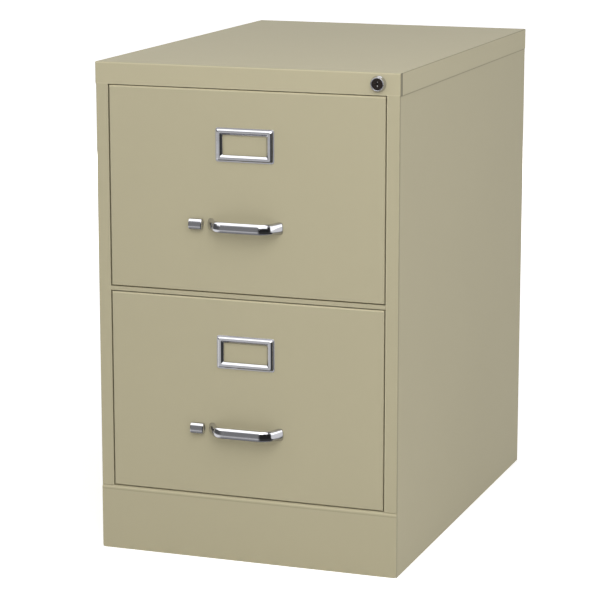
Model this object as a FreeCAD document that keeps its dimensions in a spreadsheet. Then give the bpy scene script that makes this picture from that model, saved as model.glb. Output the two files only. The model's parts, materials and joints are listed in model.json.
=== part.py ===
import FreeCAD, Part
import math
import os
import Sketcher

# Two-drawer vertical filing cabinet for legal-size folders.
# X runs to the right and +Z up, and the drawer fronts face -Y.
# The origin is on the floor, under the middle of the whole object, handles included.

DRIVING_SIZES = {
    # Case, outside sizes
    "case_width": 457.2,
    "case_depth": 673.1,
    "case_height": 720.7,
    "case_sheet": 1.0,
    "case_bend": 1.6,
    # Top cover
    "cover_sheet": 1.0,
    "cover_flange": 31.5,
    "cover_corner": 2.0,
    # Front stiles and the rear edges of the side panels
    "stile_width": 20.0,
    "stile_return": 18.0,
    "rear_return": 16.0,
    # Base panel and the cross rails
    "base_height": 96.2,
    "base_lip": 20.0,
    "base_lip_drop": 12.0,
    "base_round": 2.6,
    "base_corner": 4.0,
    "divider_height": 6.0,
    "divider_depth": 26.0,
    "rail_sheet": 1.2,
    "top_rail_depth": 20.0,
    "foot_rail_height": 40.0,
    "foot_rail_depth": 24.0,
    # Drawer fronts
    "front_gap": 1.5,
    "front_depth": 19.0,
    "front_sheet": 1.0,
    "front_round": 1.8,
    "liner_sheet": 0.9,
    # Drawer trays
    "tray_sheet": 0.9,
    "tray_length": 630.0,
    "tray_lift": 8.0,
    "tray_top_gap": 32.5,
    "tray_back_drop": 34.0,
    "tray_hem": 6.0,
    "tray_flange": 12.0,
    # Telescoping slides
    "slide_thickness": 12.7,
    "slide_height": 45.7,
    "slide_length": 620.0,
    "slide_sheet": 1.2,
    "slide_setback": 34.0,
    "slide_lift": 70.0,
    "slide_lip": 1.8,
    "slide_step": 5.0,
    "slide_web_gap": 1.0,
    "cage_length": 300.0,
    "cage_width": 5.0,
    "cage_sheet": 0.8,
    "roller_length": 2.4,
    # Uprights that carry the slides
    "upright_width": 32.0,
    "upright_setback": 48.0,
    "upright_slot_width": 14.0,
    "upright_slot_height": 3.2,
    # Bow handle
    "handle_length": 114.3,
    "handle_reach": 25.4,
    "handle_foot_height": 18.6,
    "handle_foot_width": 12.0,
    "handle_grip_height": 13.6,
    "handle_grip_depth": 8.6,
    "handle_drop": 192.5,
    "handle_splay": 11.0,
    "handle_bend": 18.0,
    "handle_waist_round": 30.0,
    "handle_bevel": 2.4,
    # Label holder
    "label_width": 88.0,
    "label_height": 48.6,
    "label_window_width": 70.6,
    "label_window_height": 32.4,
    "label_flange": 1.3,
    "label_flange_sheet": 0.8,
    "label_rise": 4.4,
    "label_drop": 77.5,
    "label_card_gap": 0.6,
    "label_card_margin": 3.0,
    # Thumb latch
    "button_width": 20.0,
    "button_height": 14.0,
    "button_reach": 9.0,
    "button_gap": 6.6,
    "button_round": 5.5,
    "button_bevel": 1.0,
    "stem_width": 8.0,
    "stem_height": 6.0,
    "latch_travel": 6.0,
    "latch_bite": 3.2,
    "latch_bar_height": 14.0,
    "latch_bar_sheet": 2.0,
    "latch_bar_setback": 7.0,
    "spring_length": 26.0,
    "spring_width": 6.8,
    "spring_height": 8.0,
    "spring_sheet": 0.5,
    # Lock
    "lock_inset": 32.4,
    "lock_drop": 15.8,
    "bezel_radius": 11.6,
    "bezel_face_radius": 9.6,
    "bezel_reach": 5.5,
    "bezel_rim": 1.2,
    "barrel_radius": 9.5,
    "barrel_length": 15.0,
    "core_radius": 8.2,
    "core_recess": 0.6,
    "keyway_width": 1.8,
    "keyway_height": 7.6,
    "keyway_depth": 6.0,
    "nut_width": 23.0,
    "nut_height": 3.0,
    "cam_sheet": 1.6,
    "cam_throw": 8.0,
    "cam_pin_radius": 1.8,
    "cam_margin": 1.4,
    "bar_width": 9.0,
    "bar_sheet": 2.6,
    "bar_foot": 150.0,
    "bar_setback": 22.5,
    "tab_height": 9.0,
    "tab_reach": 8.0,
    "lug_sheet": 1.6,
    "lug_height": 9.0,
    "lug_length": 34.0,
    "lug_drop": 27.5,
    "guide_height": 14.0,
    "guide_sheet": 1.2,
    # Clearances
    "running_gap": 0.3,
    "bore_gap": 0.05,
    "lug_gap": 1.2,
}

Vector = FreeCAD.Vector
doc = FreeCAD.newDocument("FilingCabinet")
sheet = doc.addObject("Spreadsheet::Sheet", "Sizes")
nodes = []


class Size:
    """A length, known as a number and as the expression that binds the model to the sheet."""

    def __init__(self, text, value):
        self.text = text
        self.value = value

    def __add__(self, other):
        other = as_size(other)
        return Size(f"({self.text} + {other.text})", self.value + other.value)

    def __sub__(self, other):
        other = as_size(other)
        return Size(f"({self.text} - {other.text})", self.value - other.value)

    def __mul__(self, other):
        other = as_size(other)
        return Size(f"({self.text} * {other.text})", self.value * other.value)

    def __truediv__(self, other):
        other = as_size(other)
        return Size(f"({self.text} / {other.text})", self.value / other.value)

    def __radd__(self, other):
        return as_size(other) + self

    def __rsub__(self, other):
        return as_size(other) - self

    def __rmul__(self, other):
        return as_size(other) * self

    def __neg__(self):
        return as_size(0) - self


def as_size(amount):
    """Turns a plain number into a Size, and leaves a Size as it is."""
    if isinstance(amount, Size):
        return amount
    return Size(f"({amount:g})", float(amount))


class DrivingSizes:
    """The driving dimensions, written to the sheet and known by their names."""

    def __init__(self, amounts):
        for row, (name, amount) in enumerate(amounts.items(), 1):
            sheet.set(f"A{row}", name)
            sheet.set(f"B{row}", str(amount))
            sheet.setAlias(f"B{row}", name)
            setattr(self, name, Size(f"Sizes.{name}", float(amount)))


size = DrivingSizes(DRIVING_SIZES)

# How many there are of what repeats
cage_rollers = 2
upright_slots = 6
spring_folds = 7
nut_sides = 6

# Places that follow from those sizes
front = (size.handle_reach - size.case_depth) / 2
rear = front + size.case_depth
body_half = size.case_width / 2 - size.cover_sheet
panel_inner = body_half - size.case_sheet
back_outer = rear - size.cover_sheet
stile_inner = size.case_width / 2 - size.stile_width
header_bottom = size.case_height - size.cover_flange
cover_underside = size.case_height - size.cover_sheet
front_half = stile_inner - size.front_gap
opening_height = header_bottom - size.base_height
front_height = (opening_height - size.divider_height) / 2 - 2 * size.front_gap
lower_front_bottom = size.base_height + size.front_gap
divider_bottom = lower_front_bottom + front_height + size.front_gap
upper_front_bottom = divider_bottom + size.divider_height + size.front_gap
tray_side_height = front_height - size.tray_lift - size.tray_top_gap
tray_back_height = tray_side_height - size.tray_back_drop
slide_start = front + size.slide_setback
tray_half = front_half - size.slide_thickness
upright_face = front_half
upright_slot_pitch = opening_height / upright_slots
middle_depth = size.slide_thickness - 2 * size.slide_sheet - 3 * size.slide_web_gap
middle_web_x = upright_face - size.slide_sheet - size.slide_web_gap
lock_x = size.case_width / 2 - size.lock_inset
lock_z = size.case_height - size.lock_drop
half_turn_share = 0.7071067811865476
bar_inner = stile_inner + 2 * size.running_gap + size.case_sheet
bar_outer = bar_inner + size.bar_width
bar_front = front + size.bar_setback
bar_rear = bar_front + size.bar_sheet
cam_rest_z = lock_z - size.cam_throw * half_turn_share

# Places on the drawers, counted from a front's bottom edge
handle_z = front_height - size.handle_drop
label_z = front_height - size.label_drop
latch_bar_middle = size.latch_bar_setback + size.latch_bar_sheet / 2
stem_low = -(size.handle_length / 2 + size.button_gap + (size.button_width + size.stem_width) / 2)
spring_low = stem_low + size.stem_width + size.latch_travel
liner_flange = size.front_depth / 4
label_bar_half = (size.label_height - size.label_window_height) / 4 - size.label_flange / 2
cam_slot_half = size.cam_pin_radius + 2 * size.running_gap
lug_z = size.tray_lift + tray_side_height - size.lug_drop

X_AXIS = Vector(1, 0, 0)
Y_AXIS = Vector(0, 1, 0)
Z_AXIS = Vector(0, 0, 1)


def bind(item, name, amount):
    """Binds one property of an object to an expression."""
    item.setExpression(name, as_size(amount).text)


def place(item, corner, turn=FreeCAD.Rotation()):
    """Gives an object its turn and binds its place."""
    item.Placement = FreeCAD.Placement(Vector(), turn)
    for axis, amount in zip("xyz", corner):
        bind(item, f"Placement.Base.{axis}", amount)


def keep(item, label):
    """Names a finished piece and marks it to be written."""
    item.Label = label
    nodes.append(item)
    return item


def block(name, low, high):
    """A box between two opposite corners."""
    made = doc.addObject("Part::Box", name)
    for prop, start, end in zip(("Length", "Width", "Height"), low, high):
        bind(made, prop, as_size(end) - start)
    place(made, low)
    return made


def rod(name, start, radius, length, direction):
    """A cylinder that starts at a point and runs along a direction."""
    made = doc.addObject("Part::Cylinder", name)
    bind(made, "Radius", radius)
    bind(made, "Height", length)
    place(made, start, FreeCAD.Rotation(Z_AXIS, direction))
    return made


def group(name, items):
    """Several solids held together as one object."""
    made = doc.addObject("Part::Compound", name)
    made.Links = items
    return made


def cut(name, base, tools):
    """A solid with other solids taken away."""
    made = doc.addObject("Part::Cut", name)
    made.Base = base
    made.Tool = tools[0] if len(tools) == 1 else group(f"{name}_tools", tools)
    return made


def fuse(name, items):
    """Several overlapping solids made one."""
    made = doc.addObject("Part::MultiFuse", name)
    made.Shapes = items
    made.Refine = True
    return made


def new_body(name, corner):
    """An empty body at a bound place."""
    made = doc.addObject("PartDesign::Body", name)
    place(made, corner)
    return made


def new_sketch(body, suffix, role, offset=0):
    """A sketch on one of the body's own planes, shifted along the plane's normal."""
    plane = next(item for item in body.Origin.OriginFeatures if item.Role == role)
    made = body.newObject("Sketcher::SketchObject", f"{body.Name}_{suffix}")
    made.AttachmentSupport = [(plane, "")]
    made.MapMode = "FlatFace"
    bind(made, "AttachmentOffset.Base.z", offset)
    return made


def draw_outline(sketch, corners):
    """Adds a closed outline of straight lines with every corner bound."""
    first = sketch.GeometryCount
    count = len(corners)
    points = [Vector(as_size(a).value, as_size(b).value, 0) for a, b in corners]
    for index in range(count):
        sketch.addGeometry(Part.LineSegment(points[index], points[(index + 1) % count]))
    for index in range(count):
        after = first + (index + 1) % count
        sketch.addConstraint(Sketcher.Constraint("Coincident", first + index, 2, after, 1))
    for index, corner in enumerate(corners):
        for kind, amount in zip(("DistanceX", "DistanceY"), corner):
            rule = Sketcher.Constraint(kind, -1, 1, first + index, 1, as_size(amount).value)
            number = sketch.addConstraint(rule)
            bind(sketch, f"Constraints[{number}]", amount)


def draw_rectangle(sketch, left, right, low, high):
    """Adds a bound rectangle."""
    draw_outline(sketch, [(left, low), (right, low), (right, high), (left, high)])


def draw_centred(sketch, width, height, across=0, up=0):
    """Adds a bound rectangle around a point."""
    half = as_size(width) / 2
    rise = as_size(height) / 2
    draw_rectangle(sketch, across - half, across + half, up - rise, up + rise)


def draw_circle(sketch, across, up, radius):
    """Adds a bound circle."""
    centre = Vector(as_size(across).value, as_size(up).value, 0)
    index = sketch.addGeometry(Part.Circle(centre, Z_AXIS, as_size(radius).value))
    rules = [
        (Sketcher.Constraint("DistanceX", -1, 1, index, 3, centre.x), across),
        (Sketcher.Constraint("DistanceY", -1, 1, index, 3, centre.y), up),
        (Sketcher.Constraint("Radius", index, as_size(radius).value), radius),
    ]
    for rule, amount in rules:
        number = sketch.addConstraint(rule)
        bind(sketch, f"Constraints[{number}]", amount)


def pad(body, suffix, sketch, length, backwards=False):
    """Pads a sketch along its normal, or against it."""
    made = body.newObject("PartDesign::Pad", f"{body.Name}_{suffix}")
    made.Profile = sketch
    bind(made, "Length", length)
    made.Reversed = backwards
    return made


def pocket(body, suffix, sketch, depth, backwards=False):
    """Cuts a sketch into the body, against the sketch's normal or along it."""
    made = body.newObject("PartDesign::Pocket", f"{body.Name}_{suffix}")
    made.Profile = sketch
    bind(made, "Length", depth)
    made.Reversed = backwards
    return made


def round_edges(body, suffix, radius, wanted):
    """Rounds the edges of the body's last feature that a test picks out."""
    doc.recompute()
    base = body.Tip
    names = [f"Edge{number}" for number, edge in enumerate(base.Shape.Edges, 1) if wanted(edge)]
    made = body.newObject("PartDesign::Fillet", f"{body.Name}_{suffix}")
    made.Base = (base, names)
    bind(made, "Radius", radius)
    return made


def bevel_edges(body, suffix, size, wanted):
    """Bevels the edges of the body's last feature that a test picks out."""
    doc.recompute()
    base = body.Tip
    names = [f"Edge{number}" for number, edge in enumerate(base.Shape.Edges, 1) if wanted(edge)]
    made = body.newObject("PartDesign::Chamfer", f"{body.Name}_{suffix}")
    made.Base = (base, names)
    bind(made, "Size", size)
    return made


def runs_along(edge, axis):
    """True for a straight edge that is parallel to an axis."""
    if edge.Curve.TypeId != "Part::GeomLine":
        return False
    return abs(abs(edge.Curve.Direction * axis) - 1) < 1e-6


def lies_at(edge, axis, amount):
    """True where the middle of an edge has a given place along an axis."""
    return abs(edge.CenterOfMass * axis - as_size(amount).value) < 1e-3


def folded(label, role, corners, length, corner=(0, 0, 0), backwards=False):
    """A body padded from one closed outline."""
    body = new_body(label, corner)
    sketch = new_sketch(body, "outline", role)
    draw_outline(sketch, corners)
    pad(body, "pad", sketch, length, backwards)
    return body


# Case

def side_panel(label, side, latch_heights):
    """One side of the case: sheet, front stile with its return, and rear return.

    side is -1 on the left and 1 on the right. Each latch height gets a slot in the stile's return.
    """
    outer = body_half * side
    inner = panel_inner * side
    body = new_body(label, (0, front, 0))
    outline = new_sketch(body, "outline", "XY_Plane")
    back = back_outer - size.case_sheet - front
    draw_outline(outline, [
        (outer, 0),
        (outer, back),
        (outer - size.rear_return * side, back),
        (outer - size.rear_return * side, back - size.case_sheet),
        (inner, back - size.case_sheet),
        (inner, size.case_sheet),
        ((stile_inner + size.case_sheet) * side, size.case_sheet),
        ((stile_inner + size.case_sheet) * side, size.stile_return),
        (stile_inner * side, size.stile_return),
        (stile_inner * side, 0),
    ])
    pad(body, "pad", outline, cover_underside)
    round_edges(body, "bend", size.case_bend, lambda edge: runs_along(edge, Z_AXIS)
                and lies_at(edge, X_AXIS, outer))
    notch = new_sketch(body, "notch", "XZ_Plane")
    reach = stile_inner - size.front_gap
    spans = ((-size.case_sheet, size.base_height), (header_bottom, size.case_height))
    for low, high in spans:
        draw_rectangle(notch, reach * side, inner, low, high)
    pocket(body, "notch_cut", notch, size.stile_return + size.case_sheet)
    face = new_sketch(body, "face", "XZ_Plane")
    for low, high in spans:
        draw_rectangle(face, inner - size.case_sheet * side, outer + size.case_sheet * side, low, high)
    pocket(body, "face_cut", face, size.case_sheet)
    if latch_heights:
        slots = new_sketch(body, "slots", "YZ_Plane", (stile_inner + size.case_sheet) * side)
        for height in latch_heights:
            draw_centred(slots, size.latch_bar_sheet + 4 * size.running_gap,
                         size.latch_bar_height + 4 * size.running_gap, latch_bar_middle, height)
        pocket(body, "slots_cut", slots, 2 * size.case_sheet, side < 0)
    return keep(body, label)


def back_panel():
    """The plain sheet that closes the back."""
    made = block(
        "back_panel",
        (-body_half, back_outer - size.case_sheet, 0),
        (body_half, back_outer, cover_underside),
    )
    return keep(made, "back_panel")


def top_cover():
    """The cover with a flange on all four sides; its front flange is the header with the lock's hole."""
    body = new_body("top_cover", (0, front, header_bottom))
    half = size.case_width / 2
    outline = new_sketch(body, "outline", "XY_Plane")
    draw_rectangle(outline, -half, half, 0, size.case_depth)
    pad(body, "pad", outline, size.cover_flange)
    round_edges(body, "corners", size.cover_corner, lambda edge: runs_along(edge, Z_AXIS))
    round_edges(body, "rim", size.case_bend, lambda edge: lies_at(edge, Z_AXIS, size.cover_flange))
    hollow = new_sketch(body, "hollow", "XY_Plane")
    draw_rectangle(hollow, -body_half, body_half, size.cover_sheet, size.case_depth - size.cover_sheet)
    pocket(body, "hollow_cut", hollow, size.cover_flange - size.cover_sheet, True)
    hole = new_sketch(body, "hole", "XZ_Plane")
    draw_circle(hole, lock_x, lock_z - header_bottom, size.barrel_radius + size.bore_gap)
    pocket(body, "hole_cut", hole, 2 * size.cover_sheet)
    return keep(body, "top_cover")


def front_top_rail():
    """The channel behind the header that closes the top of the drawer opening and holds the lock."""
    low = 0
    high = size.cover_flange - size.cover_sheet
    start = size.cover_sheet
    end = size.top_rail_depth
    body = folded("front_top_rail", "YZ_Plane", [
        (start, low),
        (end, low),
        (end, size.rail_sheet),
        (start + size.rail_sheet, size.rail_sheet),
        (start + size.rail_sheet, high - size.rail_sheet),
        (end, high - size.rail_sheet),
        (end, high),
        (start, high),
    ], 2 * panel_inner, (-panel_inner, front, header_bottom))
    hole = new_sketch(body, "hole", "XZ_Plane")
    draw_circle(hole, lock_x + panel_inner, lock_z - header_bottom, size.barrel_radius + size.bore_gap)
    pocket(body, "hole_cut", hole, size.cover_sheet + 2 * size.rail_sheet)
    return keep(body, "front_top_rail")


def base_panel():
    """The kick panel below the lower drawer, with a rounded top that folds back."""
    body = folded("base_panel", "YZ_Plane", [
        (0, 0),
        (0, size.base_height),
        (size.base_lip, size.base_height),
        (size.base_lip, size.base_height - size.base_lip_drop),
        (size.base_lip - size.case_sheet, size.base_height - size.base_lip_drop),
        (size.base_lip - size.case_sheet, size.base_height - size.case_sheet),
        (size.case_sheet, size.base_height - size.case_sheet),
        (size.case_sheet, 0),
    ], 2 * panel_inner, (-panel_inner, front, 0))
    round_edges(body, "top_bend", size.base_round, lambda edge: runs_along(edge, X_AXIS)
                and lies_at(edge, Z_AXIS, size.base_height) and lies_at(edge, Y_AXIS, 0))
    round_edges(body, "inner_bend", size.base_round - size.case_sheet,
                lambda edge: runs_along(edge, X_AXIS) and lies_at(edge, Y_AXIS, size.case_sheet)
                and lies_at(edge, Z_AXIS, size.base_height - size.case_sheet))
    ends = new_sketch(body, "ends", "XZ_Plane")
    for low in (-size.case_sheet, 2 * panel_inner):
        draw_rectangle(ends, low, low + size.case_sheet, 0, size.base_height - size.base_round)
    pad(body, "ends_pad", ends, size.case_sheet, True)
    round_edges(body, "corners", size.base_corner, lambda edge: runs_along(edge, Y_AXIS)
                and lies_at(edge, Z_AXIS, 0))
    return keep(body, "base_panel")


def divider_rail():
    """The channel between the two drawer fronts."""
    body = folded("divider_rail", "YZ_Plane", [
        (0, 0),
        (size.divider_depth, 0),
        (size.divider_depth, size.case_sheet),
        (size.case_sheet, size.case_sheet),
        (size.case_sheet, size.divider_height - size.case_sheet),
        (size.divider_depth, size.divider_height - size.case_sheet),
        (size.divider_depth, size.divider_height),
        (0, size.divider_height),
    ], 2 * stile_inner, (-stile_inner, front, divider_bottom))
    return keep(body, "divider_rail")


def rear_foot_rail():
    """The channel that ties the side panels together along the bottom of the back."""
    end = back_outer - size.case_sheet - front
    body = folded("rear_foot_rail", "YZ_Plane", [
        (end - size.case_sheet, 0),
        (end - size.foot_rail_depth, 0),
        (end - size.foot_rail_depth, size.foot_rail_height),
        (end - size.foot_rail_depth + size.rail_sheet, size.foot_rail_height),
        (end - size.foot_rail_depth + size.rail_sheet, size.rail_sheet),
        (end - size.case_sheet, size.rail_sheet),
    ], 2 * panel_inner, (-panel_inner, front, 0))
    return keep(body, "rear_foot_rail")


def upright(label, side, start):
    """A slotted channel on the side panel that carries the ends of the slides."""
    web = upright_face * side
    flange_end = panel_inner * side
    inside = (upright_face + size.rail_sheet) * side
    body = new_body(label, (0, start, size.base_height))
    outline = new_sketch(body, "outline", "XY_Plane")
    draw_outline(outline, [
        (web, 0),
        (flange_end, 0),
        (flange_end, size.rail_sheet),
        (inside, size.rail_sheet),
        (inside, size.upright_width - size.rail_sheet),
        (flange_end, size.upright_width - size.rail_sheet),
        (flange_end, size.upright_width),
        (web, size.upright_width),
    ])
    pad(body, "pad", outline, opening_height)
    slot = new_sketch(body, "slot", "YZ_Plane", inside)
    left = (size.upright_width - size.upright_slot_width) / 2
    draw_rectangle(slot, left, left + size.upright_slot_width, upright_slot_pitch / 2,
                   upright_slot_pitch / 2 + size.upright_slot_height)
    first = pocket(body, "slot_cut", slot, 2 * size.rail_sheet, side < 0)
    doc.recompute()
    row = body.newObject("PartDesign::LinearPattern", f"{label}_row")
    row.Originals = [first]
    row.Direction = (slot, ["V_Axis"])
    row.Occurrences = upright_slots
    bind(row, "Length", upright_slot_pitch * (upright_slots - 1))
    body.Tip = row
    return keep(body, label)


# Slides

def channel_corners(web, half, depth, direction):
    """Corners of a rolled C section, web, two flanges and two lips, in the X and Z plane."""
    inner = web + size.slide_sheet * direction
    end = web + depth * direction
    lip = end - size.slide_sheet * direction
    return [
        (web, -half),
        (end, -half),
        (end, size.slide_lip - half),
        (lip, size.slide_lip - half),
        (lip, size.slide_sheet - half),
        (inner, size.slide_sheet - half),
        (inner, half - size.slide_sheet),
        (lip, half - size.slide_sheet),
        (lip, half - size.slide_lip),
        (end, half - size.slide_lip),
        (end, half),
        (web, half),
    ]


def slides(level, height):
    """The six members of one drawer's pair of slides, and the roller cages between them."""
    half = size.slide_height / 2
    members = (
        ("case", upright_face, -1, size.slide_thickness - 2 * size.slide_web_gap),
        ("middle", middle_web_x, -1, middle_depth),
        ("drawer", tray_half, 1, middle_depth),
    )
    for side, word in ((-1, "left"), (1, "right")):
        for number, (kind, web, direction, depth) in enumerate(members):
            corners = channel_corners(web * side, half - number * size.slide_step, depth, direction * side)
            label = f"{level}_{word}_slide_{kind}_member"
            keep(folded(label, "XZ_Plane", corners, size.slide_length,
                        (0, slide_start + size.slide_length, height)), label)
    outer_across = middle_web_x - middle_depth / 2
    inner_across = (middle_web_x + size.slide_sheet + tray_half) / 2
    race = half - (size.slide_sheet + size.slide_step) / 2
    roller_cages(f"{level}_outer_roller_cages", outer_across, race, height)
    roller_cages(f"{level}_inner_roller_cages", inner_across, race - size.slide_step, height)


def roller_cages(label, across, race, height):
    """Four strips with their rollers: above and below, in the left and the right slide."""
    radius = (size.slide_step - size.slide_sheet) / 2 - size.running_gap
    low_y = slide_start + (size.slide_length - size.cage_length) / 2
    pitch = size.cage_length / cage_rollers
    half_window = size.roller_length / 2 + size.bore_gap
    solids = []
    for corner, (side, level) in enumerate(((-1, -1), (-1, 1), (1, -1), (1, 1))):
        middle_x = across * side
        middle_z = height + race * level
        strip = block(
            f"{label}_strip_{corner}",
            (middle_x - size.cage_width / 2, low_y, middle_z - size.cage_sheet / 2),
            (middle_x + size.cage_width / 2, low_y + size.cage_length, middle_z + size.cage_sheet / 2),
        )
        windows = []
        for number in range(cage_rollers):
            middle_y = low_y + pitch * (number + 0.5)
            roller_start = (middle_x - size.roller_length / 2, middle_y, middle_z)
            name = f"{label}_{corner}_{number}"
            solids.append(rod(f"{name}_roller", roller_start, radius, size.roller_length, X_AXIS))
            windows.append(block(
                f"{name}_window",
                (middle_x - half_window, middle_y - radius - size.bore_gap, middle_z - size.cage_sheet),
                (middle_x + half_window, middle_y + radius + size.bore_gap, middle_z + size.cage_sheet),
            ))
        solids.append(cut(f"{label}_cage_{corner}", strip, windows))
    return keep(group(label, solids), label)


# Drawers

def drawer_front(level, bottom):
    """The outer pan of a drawer front, with slots for the latch's stem and its bar."""
    label = f"{level}_drawer_front"
    body = new_body(label, (0, front, bottom))
    outline = new_sketch(body, "outline", "XZ_Plane")
    draw_rectangle(outline, -front_half, front_half, 0, front_height)
    pad(body, "pad", outline, size.front_depth, True)
    round_edges(body, "rim", size.front_round, lambda edge: lies_at(edge, Y_AXIS, 0))
    hollow = new_sketch(body, "hollow", "XZ_Plane", -size.front_sheet)
    draw_rectangle(hollow, size.front_sheet - front_half, front_half - size.front_sheet, size.front_sheet,
                   front_height - size.front_sheet)
    pocket(body, "hollow_cut", hollow, size.front_depth)
    holes = new_sketch(body, "holes", "XZ_Plane")
    draw_centred(holes, size.stem_width + size.latch_travel + 2 * size.running_gap,
                 size.stem_height + 2 * size.running_gap,
                 stem_low + (size.stem_width + size.latch_travel) / 2, handle_z)
    pocket(body, "holes_cut", holes, 2 * size.front_sheet)
    slot = new_sketch(body, "bar_slot", "YZ_Plane", -front_half - size.front_sheet)
    draw_centred(slot, size.latch_bar_sheet + 2 * size.running_gap,
                 size.latch_bar_height + 2 * size.running_gap, latch_bar_middle, handle_z)
    pocket(body, "bar_slot_cut", slot, 3 * size.front_sheet, True)
    return keep(body, label)


def front_liner(level, bottom):
    """The inner pan that closes the back of a drawer front."""
    label = f"{level}_front_liner"
    half = front_half - size.front_sheet
    body = new_body(label, (0, front + size.front_depth, bottom))
    outline = new_sketch(body, "outline", "XZ_Plane")
    draw_centred(outline, 2 * half, front_height - 2 * size.front_sheet, 0, front_height / 2)
    pad(body, "pad", outline, liner_flange)
    hollow = new_sketch(body, "hollow", "XZ_Plane", size.liner_sheet)
    draw_centred(hollow, 2 * (half - size.liner_sheet),
                 front_height - 2 * (size.front_sheet + size.liner_sheet), 0, front_height / 2)
    pocket(body, "hollow_cut", hollow, liner_flange, True)
    return keep(body, label)


def tray_side(level, word, side, bottom):
    """A high drawer side with a flange under the floor and a hem that folders hang on."""
    label = f"{level}_{word}_tray_side"
    outer = tray_half * side
    inner = (tray_half - size.tray_sheet) * side
    hem_end = (tray_half - size.tray_hem) * side
    body = folded(label, "XZ_Plane", [
        (outer, 0),
        (outer, tray_side_height),
        (hem_end, tray_side_height),
        (hem_end, tray_side_height - size.tray_hem),
        (hem_end + size.tray_sheet * side, tray_side_height - size.tray_hem),
        (hem_end + size.tray_sheet * side, tray_side_height - size.tray_sheet),
        (inner, tray_side_height - size.tray_sheet),
        (inner, size.tray_sheet),
        ((tray_half - size.tray_flange) * side, size.tray_sheet),
        ((tray_half - size.tray_flange) * side, 0),
    ], size.tray_length, (0, front + size.front_depth + size.tray_length, bottom + size.tray_lift))
    return keep(body, label)


def tray_pan(level, bottom):
    """The drawer's floor, folded up into its back."""
    label = f"{level}_tray_pan"
    inner = tray_half - size.tray_sheet
    body = folded(label, "YZ_Plane", [
        (0, 0),
        (size.tray_length, 0),
        (size.tray_length, tray_back_height),
        (size.tray_length - size.tray_hem, tray_back_height),
        (size.tray_length - size.tray_hem, tray_back_height - size.tray_sheet),
        (size.tray_length - size.tray_sheet, tray_back_height - size.tray_sheet),
        (size.tray_length - size.tray_sheet, size.tray_sheet),
        (0, size.tray_sheet),
    ], 2 * inner, (-inner, front + size.front_depth, bottom + size.tray_lift + size.tray_sheet))
    return keep(body, label)


# Handle, label holder and latch

def bow_handle(level, height):
    """The cast bow pull: high, spread feet on the drawer front that sweep out into a slimmer grip."""
    label = f"{level}_handle"
    body = new_body(label, (0, front, height))
    half = size.handle_length / 2
    grip_half = half - size.handle_splay
    inner_half = grip_half - size.handle_grip_depth
    plan = new_sketch(body, "plan", "XY_Plane", -size.handle_foot_height / 2)
    draw_outline(plan, [
        (-half, 0),
        (-grip_half, -size.handle_reach),
        (grip_half, -size.handle_reach),
        (half, 0),
        (half - size.handle_foot_width, 0),
        (inner_half, size.handle_grip_depth - size.handle_reach),
        (-inner_half, size.handle_grip_depth - size.handle_reach),
        (size.handle_foot_width - half, 0),
    ])
    pad(body, "pad", plan, size.handle_foot_height)
    round_edges(body, "bends", size.handle_bend, lambda edge: runs_along(edge, Z_AXIS)
                and lies_at(edge, Y_AXIS, -size.handle_reach))
    round_edges(body, "inner_bends", size.handle_bend - size.handle_grip_depth,
                lambda edge: runs_along(edge, Z_AXIS)
                and lies_at(edge, Y_AXIS, size.handle_grip_depth - size.handle_reach))
    waist = new_sketch(body, "waist", "XZ_Plane")
    for end in (-1, 1):
        low = size.handle_grip_height / 2 * end
        high = size.handle_foot_height / 2 * end
        draw_outline(waist, [
            (-half, high),
            (-inner_half, low),
            (inner_half, low),
            (half, high),
            (half, high + size.handle_grip_height * end),
            (-half, high + size.handle_grip_height * end),
        ])
    pocket(body, "waist_cut", waist, 2 * size.handle_reach, True)
    round_edges(body, "waist_ease", size.handle_waist_round, lambda edge: runs_along(edge, Y_AXIS)
                and abs(edge.CenterOfMass.x) < half.value - 1
                and abs(edge.CenterOfMass.z) < (size.handle_foot_height / 2).value - 0.5)
    bevel_edges(body, "soft", size.handle_bevel, lambda edge: not runs_along(edge, Z_AXIS)
                and not lies_at(edge, Y_AXIS, 0) and not runs_along(edge, Y_AXIS))
    return keep(body, label)


def label_holder(level, height):
    """The card frame: a thin flange on the drawer front and a raised, bevelled bar around its window."""
    label = f"{level}_label_holder"
    body = new_body(label, (0, front, height))
    flange = new_sketch(body, "flange", "XZ_Plane")
    draw_centred(flange, size.label_width, size.label_height)
    pad(body, "flange_pad", flange, size.label_flange_sheet)
    round_edges(body, "flange_corners", 2 * size.label_flange, lambda edge: runs_along(edge, Y_AXIS))
    bar = new_sketch(body, "bar", "XZ_Plane")
    draw_centred(bar, size.label_width - 2 * size.label_flange, size.label_height - 2 * size.label_flange)
    pad(body, "bar_pad", bar, size.label_rise)
    window = new_sketch(body, "window", "XZ_Plane", size.label_rise)
    draw_centred(window, size.label_window_width, size.label_window_height)
    pocket(body, "window_cut", window, size.label_rise)
    bevel_edges(body, "bar_bevel", label_bar_half - size.running_gap,
                lambda edge: lies_at(edge, Y_AXIS, -size.label_rise))
    card = new_sketch(body, "card", "XZ_Plane")
    draw_centred(card, size.label_window_width + 2 * size.label_card_margin,
                 size.label_window_height + 2 * size.label_card_margin)
    pocket(body, "card_cut", card, size.label_card_gap, True)
    return keep(body, label)


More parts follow.
